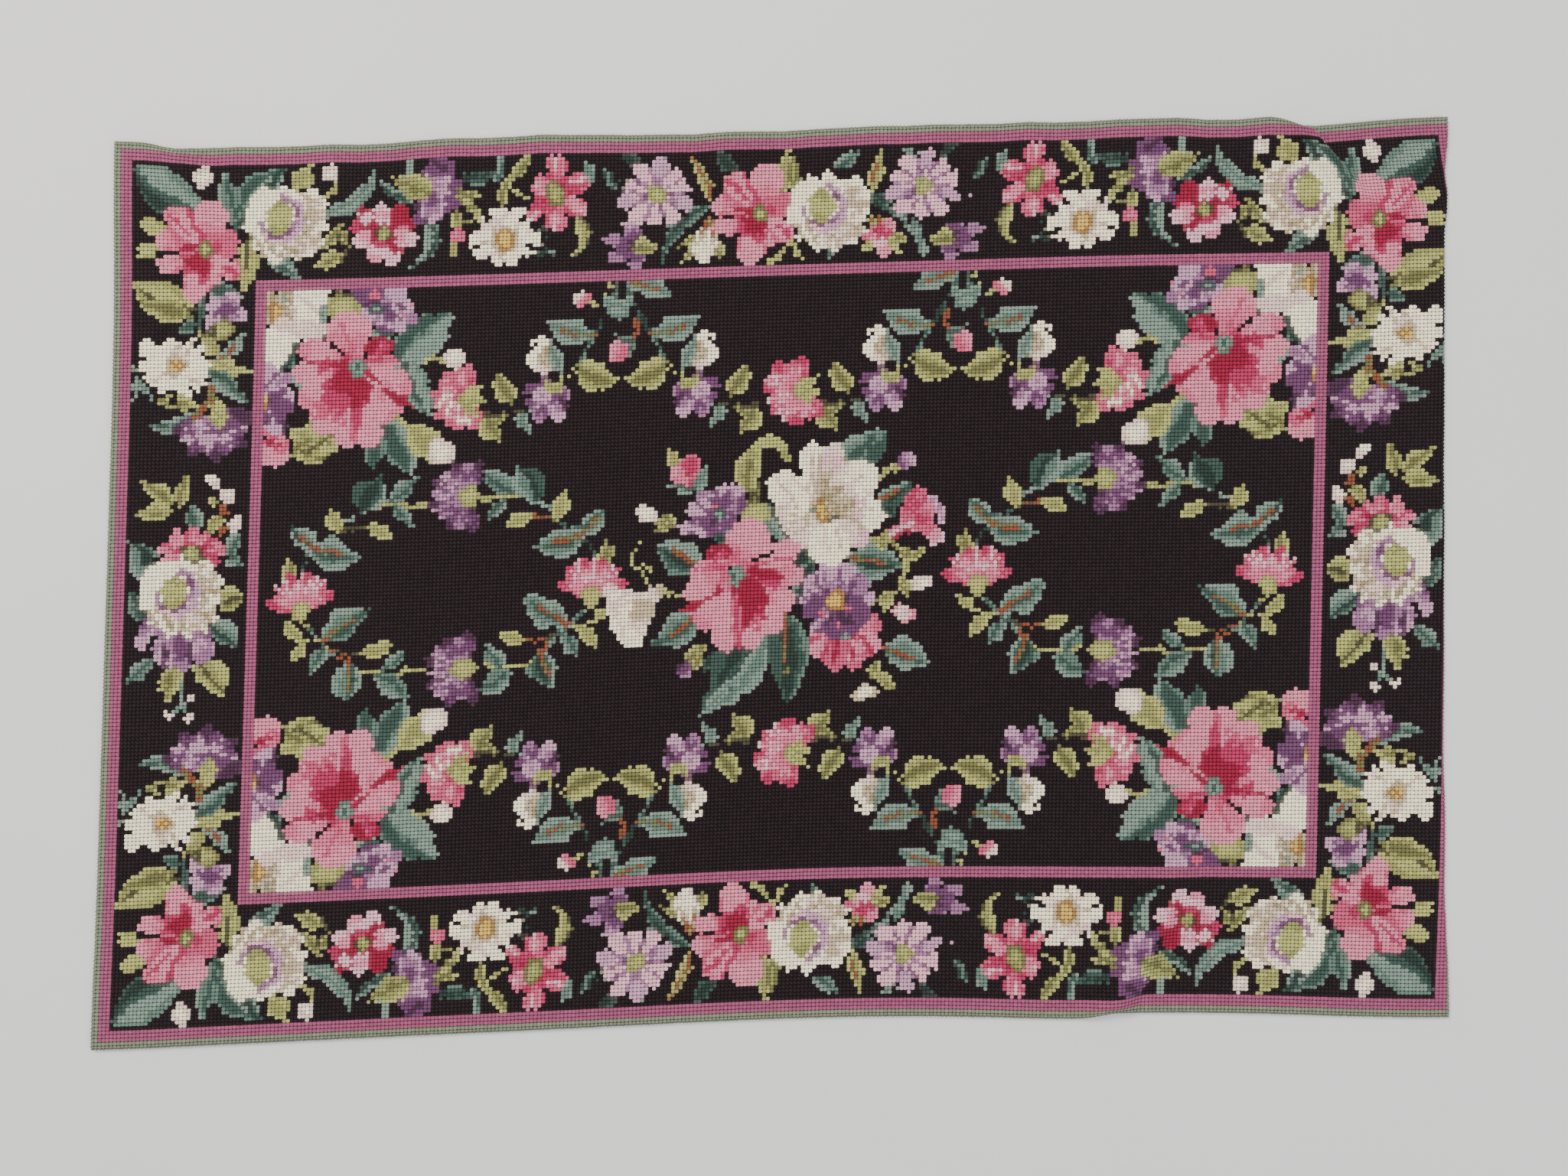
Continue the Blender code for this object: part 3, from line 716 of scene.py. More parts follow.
def field_corner(c):
    """The corner of the field: a cut-off lily, a hibiscus, a violet and their leaves and buds."""
    c.leaves([
        (58.4, 56.4, 52.4, 51.0, 5.0, "dark_teal", "mid_teal"),
        (68.5, 54, 75.6, 54.6, 4.4, ("teal_deep", "teal"), ("teal_pale", "teal_pale")),
        (45.6, 63.4, 50.4, 56.2, 5.6, "dark_teal", "dark_teal"),
        (54, 69, 49.2, 61.2, 5.0, "pale_teal", "pale_teal"),
        (76.6, 60.6, 86, 49.2, 8.0, ("teal_deep", "teal_deep", "teal"), ("teal_dark", "teal_deep"), -1.0),
        (76.6, 63.6, 91.2, 49.4, 12.0, ("teal", "teal_deep", "teal_deep"),
         ("teal_pale", "teal_pale", "teal_pale"), -0.4, "teal_pale", 0.5, 0.9),
        (78.6, 61, 86.4, 77, 8.4, ("teal_pale", "teal_pale", "teal"), ("teal_deep", "teal", "teal_pale"),
         0.6, "teal_deep", 0.45, 0.5),
        (73.0, 80, 71.4, 91.0, 6.4, ("teal_deep", "teal_deep", "teal"), ("teal_deep", "teal_deep", "teal"),
         0.6),
        (73.6, 77.6, 82.0, 93.2, 9.6, ("teal", "teal_pale", "teal_pale"),
         ("teal_deep", "teal_deep", "teal"), -0.8, "teal_deep", 0.5, 0.9),
        (57, 84, 54, 76, 8.4, "pale_olive", "pale_olive"),
        (58, 83.6, 48.8, 80.0, 6.4, ("olive_pale", "olive_pale"), "pale_olive"),
        (52, 84.6, 62, 84.4, 9.0, ("olive_deep", "olive", "olive_pale"), ("olive_pale", "olive")),
        (55, 81, 54.2, 89.6, 9.6, "pale_olive", "pale_olive"),
        (56, 82, 49, 86.8, 6.0, "pale_olive", "mid_olive"),
    ])
    c.stem([(53.0, 86), (56.6, 84), (61, 80.6)], "dark_olive", 1.5)
    c.stem([(56, 87.6), (60, 86.2)], "dark_olive", 1.0)
    petals(c, (70.4, 47.2), [
        (-5.6, -5.4, 6.6, ("plum", "purple", "purple")), (-4.2, 2.4, 4.2, ("lilac_pale", "lilac_pale")),
        (8.8, -4.4, 9.4, ("pink_mid", "lilac", "lilac_pale", "lilac_pale")),
         (0.6, -6.4, 5.6, ("plum", "pink_mid", "purple")),
        (11.2, 3.0, 5.6, ("purple", "lilac_pale", "lilac")),
         (8.4, 6.0, 5.2, ("plum", "purple", "lilac_pale")),
        (3.4, 6.2, 4.6, ("purple", "lilac_pale", "purple")),
    ], edge="purple")
    c.stem([(66.2, 45.8), (69.4, 49.4), (76.6, 52.6)], ("lilac_pale", "lilac_pale", "lilac"), 1.8)
    c.stem([(78.6, 48.8), (80.4, 47)], ("pink_mid", "lilac_pale"), 1.6)
    c.disc((71.4, 47.6), (2.2, 1.3), ("teal_deep", "teal_pale"))

    c.work((c.col < 58) & (c.row < 51) & (c.row > 42), ("taupe", "taupe_deep", "taupe"), c.chance)
    c.petal((43, 47.6), (57.6, 53.6), 8.4, ("taupe", "blush", "blush", "blush"), neck=0.6, rough=0.3)
    c.work((c.col > 49.6 + 0.2 * (c.row - 46)) & (c.col < 58.4 - 0.3 * (c.row - 44))
            & (c.row > 42) & (c.row < 50.6), "cream")
    c.stem([(50.6, 43), (56.2, 49.4)], "blush", 1.1)
    c.disc((44.4, 47.6), (1.8, 3.0), ("gold_deep", "gold"))
    c.stem([(46.8, 43), (47.8, 49.6)], ("taupe_deep", "teal_pale", "taupe"), 1.5)
    c.petal((48.2, 49.4), (41.4, 64.2), 8.4, ("blush", "cream", "cream", "cream"), neck=0.6, full=0.36,
            rough=0.05)
    c.stem([(57.2, 46.6), (56.8, 50.6)], ("teal_pale", "teal"), 1.8)
    c.disc((62.2, 46.8), (4.4, 3.4), ("olive", "olive_pale", "olive_pale"))
    c.stem([(60.4, 42.8), (64, 43.2)], "dark_olive", 1.6)

    petals(c, (41, 71.5), [
        (2.6, -10.0, 5.6, ("purple", "lilac_pale", "lilac_pale")),
         (7.6, -7.0, 5.6, ("lilac", "lilac_pale", "lilac_pale", "lilac")),
        (9.4, -1.4, 5.0, ("purple", "purple", "lilac_pale")), (9.4, 2.4, 4.4, ("plum", "purple", "purple")),
        (6.8, 8.6, 5.2, ("plum", "purple", "plum")), (5.4, 9.0, 3.2, ("lilac", "lilac_pale", "lilac_pale")),
        (1.2, 9.6, 4.4, ("purple", "plum")),
    ], edge="purple", full=0.7, veins=2, vein=0.1)
    c.disc((42.4, 72), (1.5, 2.1), ("gold_deep", "gold"))
    petals(c, (43.6, 82.4), [(1.0, -4.4, 4.4, ("pink_mid", "lilac_pale")),
            (-1.4, 6.8, 5.6, ("pink", "pink_pale", "pink_pale")),
                             (3.4, 6.6, 6.4, ("crimson", "pink_pale", "pink_pale", "pink_pale")),
                             (5.4, 1.6, 4.6, ("pink_deep", "pink", "pink_mid"))])
    c.stem([(42.6, 82.4), (46.4, 84.2)], ("crimson", "pink_deep"), 1.6)

    c.petal((66, 62), (50.6, 57.8), 7.8, ("pink_mid", "pink", "pink_pale", "pink_pale", "pink"), full=0.7,
            rough=0.08)
    c.petal((66.4, 62.4), (62.0, 48.2), 12.0, ("pink_mid", "pink", "pink", "pink_pale", "pink_pale"),
            full=0.64, neck=0.25, side=0.14, rough=0.06)
    c.stem([(58.6, 55.8), (64.6, 60.4)], ("ground", "pink_deep"), 1.2)
    c.stem([(61.8, 51), (63.6, 55), (65.4, 59.6)], "pink_mid", 1.0)
    c.petal((66, 63.6), (49.2, 64.2), 6.4, ("crimson", "crimson", "pink_deep", "pink_pale", "pink_pale"),
            full=0.7, rough=0.1)
    c.stem([(52.2, 60.9), (57, 61.2), (64, 61.4)], ("pink_deep", "crimson"), 1.2)
    c.petal((66, 64), (51.4, 73.0), 9.6, ("crimson", "pink_deep", "pink", "pink_pale", "pink_pale", "pink"),
            full=0.66, rough=0.08)
    c.petal((67.4, 63), (80.6, 70.6), 9.6, ("pink_mid", "pink_pale", "pink_pale", "pink_pale", "pink"),
            full=0.62, neck=0.3, rough=0.06)
    c.petal((66.6, 65), (77.6, 77.6), 9.8, ("pink_mid", "pink_pale", "pink", "pink_pale", "pink"),
            full=0.66, neck=0.3, rough=0.1)
    c.petal((65.4, 64), (57.4, 80.4), 10.4, ("crimson", "crimson", "pink_deep", "pink_mid", "pink_pale"),
            full=0.7, neck=0.4, rough=0.2)
    c.petal((66.2, 64), (63.6, 84.8), 9.0, ("crimson", "crimson", "pink_deep", "pink_mid", "pink_pale",
            "pink_pale"), full=0.7, neck=0.4, rough=0.2)
    c.petal((66.8, 66), (70.4, 85.2), 9.4, ("pink_mid", "pink_pale", "pink_pale", "pink_pale", "pink_pale"),
            full=0.6, neck=0.3, rough=0.08)
    c.petal((65.6, 64), (62.6, 77.4), 11.6, ("crimson", "crimson", "pink_deep", "pink_deep"), full=0.42,
            teeth=4, tooth=0.34, rough=0.3)
    c.petal((66.4, 64), (66.2, 84), 3.0, ("crimson", "crimson", "pink_deep", "pink_mid"), full=0.3)
    c.petal((65.4, 64), (57.8, 70.6), 5.4, ("crimson", "crimson", "pink_deep"))
    c.disc((72.2, 57.8), (3.8, 2.8), ("crimson", "pink_deep", "pink_mid"))
    c.stem([(69.6, 58.6), (72, 56.6)], "crimson", 1.3)
    c.leaf((67, 61.4), (78.4, 61.4), 3.4, ("pink_deep", "pink_mid"), ("pink_mid", "pink"))
    c.stem([(68.4, 64.2), (74, 69.8), (78.6, 72.6)], "crimson", 1.15)
    c.leaf((76.2, 72.0), (81.4, 74.2), 3.0, "crimson", "crimson")
    hibiscus(c, 66.7, 63.2)

    c.stem([(84.4, 61.6), (87, 61.4), (89.4, 62.6)], "pale_olive", 1.4)
    c.disc((92.4, 61.6), (2.7, 3.1), ("blush", "cream", "cream"))
    c.fringe((95.8, 72.4), (86.0, 74.6), 104, ("pink_deep", "pink_deep", "pink_mid", "pink_mid"),
            ("pink_deep", "pink_mid", "pink_pale", "pink_mid"))
    for x, y, tip_x, tip_y in ((89.6, 70.6, 88.2, 74.4), (91.4, 71.6, 90.6, 78.2), (93, 74, 94.2, 79.2),
            (95, 76.4, 97, 79.8)):
        c.stem([(x, y), (tip_x, tip_y)], ("blush", "cream", "pink_pale"), 1.5)
    c.disc((95.6, 73), (2.4, 2.3), "pale_olive")
    c.leaves([
        (94.4, 72.2, 99.8, 69.4, 3.0, ("olive_pale", "olive_pale"), ("olive_pale", "olive_pale")),
        (95.4, 73, 101.0, 73.4, 3.0, "pale_olive", "pale_olive"),
         (94.4, 73.6, 98.8, 77.2, 3.0, "pale_olive", "pale_olive"),
    ])
    c.stem([(77, 77), (82, 81.2)], "pale_olive", 1.3)
    c.leaf((80.4, 79.4), (90, 89.4), 9, ("olive", "olive_pale"), "pale_olive", 0, None, 0.5)
    c.disc((89.4, 86.8), (4.3, 3.3), ("blush", "cream", "cream"), turn=40)


def rusty_leaves(c, rows):
    """Teal leaves with a rust vein, from rows of base, tip, width, left and right tones and bend."""
    for x, y, tip_x, tip_y, width, left, right, *bend in rows:
        c.leaf((x, y), (tip_x, tip_y), width, left, right, *bend)
        middle = (x + 0.66 * (tip_x - x), y + 0.66 * (tip_y - y))
        c.stem([(x, y), middle], ("rust", "rust", "olive_deep"), 1.25)


def swag(c):
    """Half of the swag that hangs from the top of the field."""
    c.stem([(129.2, 56), (127.6, 59), (126.4, 61.6), (124.8, 64.6)], ("teal_dark", "teal_deep", "teal"), 1.2)
    c.stem([(131, 52), (130.4, 55)], "dark_teal", 1.0)
    rusty_leaves(c, [(128.8, 57.2, 115.4, 53.2, 7.4, "pale_teal", "pale_teal")])
    c.leaves([
        (107.8, 75, 103.0, 65.8, 5.6, "olives", "olives", 0, "olive_deep"),
        (101, 76, 105.6, 84.8, 5.4, ("olive_deep", "olive_deep", "olive"), "pale_olive", 2.2),
        (102.4, 79.6, 105.8, 77.6, 3.0, "pale_olive", "mid_olive"),
        (112.8, 75.6, 113.2, 82.8, 3.6, "pale_teal", "pale_teal", 2.8),
        (124, 64.6, 135, 69.4, 8.8, "pale_olive", "olives", 1.0, "olive_deep", 0.5),
    ])
    c.stem([(134, 68.8), (136.2, 68.6)], "pale_olive", 1.3)
    c.stem([(116, 65), (121, 65.8)], "pale_teal", 1.5)
    c.petal((118.8, 64.6), (112.8, 56.6), 6.4, ("taupe", "blush", "cream", "cream"), neck=0.5)
    c.petal((118.2, 65.2), (110.8, 61.6), 4.2, ("taupe", "cream", "cream"))
    c.petal((118.0, 65.4), (113.4, 65.4), 2.4, ("taupe", "blush"))
    c.stem([(116.4, 59.6), (115.4, 63.4)], ("taupe", "taupe_deep", "taupe"), 2.0)
    c.leaf((120.4, 66.4), (117.2, 57.8), 3.8, "pale_teal", "pale_teal")
    c.stem([(113.4, 58.8), (112.4, 60.4)], ("blush", "ground"), 1.0)
    c.stem([(124.2, 65.6), (119.6, 69)], ("olive_pale", "ground"), 1.3)
    c.stem([(100, 76.6), (104, 77), (110, 76.8)], "olive_dark", 1.1)
    petals(c, (117.2, 73), [
        (-1.6, -6.2, 3.4, ("lilac", "purple")), (-6.6, -3.4, 3.6, ("lilac_pale", "purple", "purple")),
        (-6.4, 2.0, 3.2, ("lilac_pale", "lilac", "purple")),
         (-3.2, 6.8, 3.8, ("lilac_pale", "purple", "lilac")),
        (6.8, -0.8, 3.6, ("purple", "purple", "lilac")), (5.2, 3.2, 3.0, ("purple", "plum")),
        (3.2, 7.0, 4.0, ("purple", "lilac", "lilac_pale")),
    ], neck=0.5)
    c.disc((115.4, 72.4), (2.7, 2.4), ("lilac_pale", "lilac_pale", "lilac"))
    c.stem([(113, 75.2), (116.4, 74.6)], ("lilac_pale", "lilac"), 1.4)
    c.stem([(118.2, 75.4), (119.6, 79.2)], ("lilac_pale", "lilac_pale"), 1.6)
    c.leaf((119, 72.6), (116.2, 68), 2.8, "pale_olive", "pale_olive")
    c.leaf((119, 72.4), (121, 68.4), 2.8, "pale_olive", "pale_olive")


def swag_middle(c):
    """The bud, leaves and stems where the swag hangs from."""
    c.stem([(131, 46), (131.6, 44.2), (133, 42.4)], ("olive_pale", "olive", "ground"), 1.4)
    c.stem([(134, 42.4), (134.2, 47)], "mid_teal", 1.2)
    c.stem([(138.6, 42.2), (138.2, 46), (137.4, 49)], ("teal", "teal_deep", "teal_pale"), 2.4)
    c.leaf((139, 48.8), (130.4, 46.0), 5.4, "pale_teal", "pale_teal", -1.6)
    c.disc((134.8, 50.0), (3.6, 2.0), "pale_teal")
    rusty_leaves(c, [(138.6, 42.6, 148.8, 46.0, 6.6, "pale_teal", "pale_teal", -0.4)])
    c.disc((125.6, 46.6), (2.3, 2.4), ("pink_mid", "pink", "blush"), light=(-1.2, -0.8))
    c.stem([(128, 48.2), (129.6, 48.2)], "pale_olive", 1.4)
    c.stem([(140.2, 48), (141, 53), (142.6, 55.4)], "dark_teal", 1.2)
    c.stem([(140, 52.2), (140.2, 55.6), (138.6, 58.6)], "rust", 1.3)
    c.leaf((139.8, 60.4), (134.2, 56.8), 3.4, "pale_teal", "mid_teal")
    c.stem([(138.6, 58), (138, 61.6)], "mid_teal", 1.6)
    c.disc((135.2, 61.2), (2.6, 3.2), ("pink_mid", "pink", "pink_pale"), light=(-1.0, -0.7))


def carnation(c, base, tip, spread, colour, calyx=(2.2, 2.2)):
    """A fringed flower on its olive cup, pink or purple, with pale streaks in its middle."""
    deep, pale, streak = {
        "pink": (("pink_deep", "pink_deep", "pink_mid", "pink_deep"),
            ("pink_mid", "pink", "pink_pale", "pink_mid"), "blush_pink"),
        "purple": (("purple", "plum", "purple", "plum"), ("purple", "lilac", "purple", "lilac"),
            "lilac_pale"),
    }[colour]
    c.fringe(base, tip, spread, deep, pale)
    ahead = (tip[0] - base[0], tip[1] - base[1])
    for side, near, far in ((-0.8, 0.5, 0.72), (-0.46, 0.4, 0.86), (-0.2, 0.5, 0.66), (0.04, 0.36, 0.88),
            (0.34, 0.4, 0.7), (0.62, 0.4, 0.8), (0.9, 0.5, 0.66)):
        away = (ahead[0] - side * ahead[1], ahead[1] + side * ahead[0])
        c.stem([(base[0] + near * away[0], base[1] + near * away[1]),
                (base[0] + far * away[0], base[1] + far * away[1])],
               (streak, "pink_pale" if colour == "pink" else "lilac"), 1.05)
    c.disc(base, calyx, ("olive", "olive_pale", "olive_pale"))


def wreath_top(c):
    """The upper part of the ring of sprigs at one end of the field."""
    c.stem([(72, 101.6), (76, 100.6), (81, 100.4)], "pale_olive", 1.2)
    c.stem([(81, 101.4), (86.4, 101.3)], "pale_olive", 1.2)
    c.stem([(100, 100.1), (104, 100), (104.6, 99.2), (111, 99)], "pale_olive", 1.2)
    c.stem([(69.6, 106.4), (65, 107), (62.4, 108)], "olive_dark")
    c.stem([(113.6, 105), (117, 105.4), (120.6, 106.4)], ("olive_dark", "rust"), 1.0)
    c.stem([(63.4, 104.6), (66, 104.4), (67, 103.2)], "pale_teal", 1.3)
    c.stem([(57, 110), (61, 108.6)], ("teal", "ground"), 1.3)
    c.stem([(115.6, 101.6), (119.4, 103.8)], "pale_teal", 1.3)
    c.stem([(121, 107), (126, 109.4)], ("teal", "teal_deep", "ground"), 1.5)
    c.stem([(54.6, 114), (53, 118.4)], ("teal_dark", "teal_deep", "ground"), 1.3)
    c.stem([(128.4, 112.6), (131, 117)], ("teal_dark", "teal_deep", "ground"), 1.3)
    c.leaves([
        (75.4, 100, 83.2, 93.8, 5.2, "pale_teal", "mid_teal"),
        (77, 100.4, 82.6, 107, 4.2, "pale_teal", "mid_teal"),
        (69, 103.2, 73.8, 92.8, 9.2, ("teal_dark", "teal_deep", "teal_deep"),
         ("teal_dark", "teal_deep", "teal_pale"), -1.0),
        (63, 108.2, 60.0, 101.0, 5.2, "pale_olive", "pale_olive"),
        (69.4, 105.8, 76.8, 109.2, 4.8, "pale_olive", "pale_olive"),
        (50.8, 121.2, 49.3, 113.6, 3.9, "pale_olive", "mid_olive"),
        (109.8, 98.8, 100.8, 92.8, 5.8, "mid_teal", "pale_teal"),
        (107, 100.4, 102.2, 105.8, 3.8, "pale_teal", "mid_teal"),
        (115.2, 101.8, 109.2, 91.4, 9.0, "pale_teal", ("teal_dark", "teal_deep", "teal_deep"), 0.8),
        (120, 106.6, 122.4, 98.4, 4.8, "pale_olive", "pale_olive"),
        (113.8, 104.6, 106.8, 107.8, 4.8, "pale_olive", "pale_olive"),
        (133.6, 120.4, 133.4, 112.4, 4.2, "pale_olive", "mid_olive"),
    ])
    rusty_leaves(c, [
        (57.4, 112.4, 50.0, 105.2, 6.0, ("teal_dark", "teal_pale"), "pale_teal"),
        (55, 111.4, 68.6, 114.8, 8.8, ("teal", "teal_pale"), ("teal_deep", "teal", "teal_pale"), 0.8),
        (127.2, 110.8, 133, 104.2, 6.4, ("teal_deep", "teal_pale"), "pale_teal"),
        (128.2, 110.8, 114.6, 113.2, 8.6, ("teal_deep", "teal", "teal_pale"), "pale_teal", -0.8),
    ])
    carnation(c, (97.2, 99.2), (86.2, 98.2), 100, "purple", (3.4, 2.7))
    carnation(c, (53.3, 128.6), (52.2, 117.6), 68, "pink", (2.3, 2.7))
    carnation(c, (130, 127.8), (130.6, 116.6), 66, "pink", (2.2, 2.7))


def wreath_bottom(c):
    """The lower part of the ring of sprigs at one end of the field."""
    c.stem([(54.4, 132), (58, 136), (61.6, 139.6), (64.6, 142)], ("teal", "teal_deep", "olive"), 1.3)
    c.stem([(61.4, 139.4), (66, 140.6), (70, 140.8)], ("olive_dark", "rust"), 1.0)
    c.stem([(64.6, 141.4), (66.6, 143.4)], "rust", 1.3)
    c.stem([(53.4, 136.4), (57.4, 136.6)], "pale_olive", 1.1)
    c.stem([(70, 145.3), (75, 145.6), (75.6, 146.4), (80, 146.3)], "pale_olive", 1.2)
    c.stem([(80, 145.2), (86.4, 145.2)], "pale_olive", 1.2)
    c.stem([(100, 145.2), (103.6, 145.2), (104.6, 146.2), (109, 146.2), (110.6, 145.2), (114, 145)],
            "pale_olive", 1.2)
    c.stem([(128.8, 131), (126, 133.6), (121, 138), (117.6, 141)], ("teal", "teal_pale", "teal_deep"), 1.3)
    c.stem([(113, 139), (118, 138.8), (120, 138)], ("olive_dark", "rust"), 1.0)
    c.stem([(118.6, 140), (116.6, 142.4)], "rust", 1.4)
    c.stem([(125.4, 135.2), (127.4, 135.2)], "pale_olive", 1.1)
    c.stem([(129.4, 134.6), (131.6, 133.8)], "pale_olive", 1.1)
    c.leaves([
        (53.8, 136.8, 48.4, 130.8, 3.8, "pale_olive", "pale_olive"),
        (55.2, 136.2, 51.0, 142.4, 4.0, "pale_olive", "pale_olive"),
        (60.2, 138, 56.4, 145.6, 4.0, "pale_teal", "mid_teal"),
        (69.8, 140.8, 78, 138.2, 4.8, "pale_olive", "pale_olive"),
        (75.4, 145.4, 81.6, 139.6, 4.4, "pale_teal", "mid_teal"),
        (73.6, 146.4, 82.6, 153, 6.0, "mid_teal", "pale_teal"),
        (107.2, 146, 102.2, 139.4, 4.4, "mid_teal", "pale_teal"),
        (110, 147, 100.8, 152.6, 6.0, "pale_teal", "mid_teal"),
        (113.2, 139.6, 105.8, 136.4, 4.4, "pale_olive", "pale_olive"),
        (122.8, 137.4, 126.8, 144, 4.4, "mid_teal", "pale_teal"),
        (126.8, 134.8, 132, 141, 3.8, "pale_olive", "pale_olive"),
        (131.2, 134, 135.2, 130.2, 3.6, "pale_olive", "pale_olive"),
    ])
    rusty_leaves(c, [
        (59, 136.4, 71.4, 128.4, 8.4, "pale_teal", ("teal_deep", "teal_deep", "teal"), -0.4),
        (66.6, 142.2, 65.6, 154, 8.8, ("teal_dark", "teal_deep", "teal_pale"), ("teal", "teal_pale"), 0.4),
        (116.6, 141.6, 120.6, 152, 8.4, ("teal_deep", "teal_pale"), ("teal_dark", "teal_deep", "teal"), 0.8),
        (124.4, 135, 112, 126.6, 8.0, ("teal_deep", "teal", "teal_pale"), "pale_teal", -0.6),
    ])
    carnation(c, (97.2, 145.8), (86.2, 146.8), 100, "purple", (3.4, 2.7))


def garland(c):
    """The carnation between the swags."""
    carnation(c, (184.2, 73.2), (174.2, 76.6), 108, "pink", (2.2, 2.6))
    c.leaves([
        (184, 73, 188.4, 70.2, 2.8, "pale_olive", "pale_olive"),
         (184, 73.4, 189, 74, 2.8, "pale_olive", "pale_olive"),
        (184, 73.6, 187.4, 77, 2.8, "pale_olive", "pale_olive"),
    ])


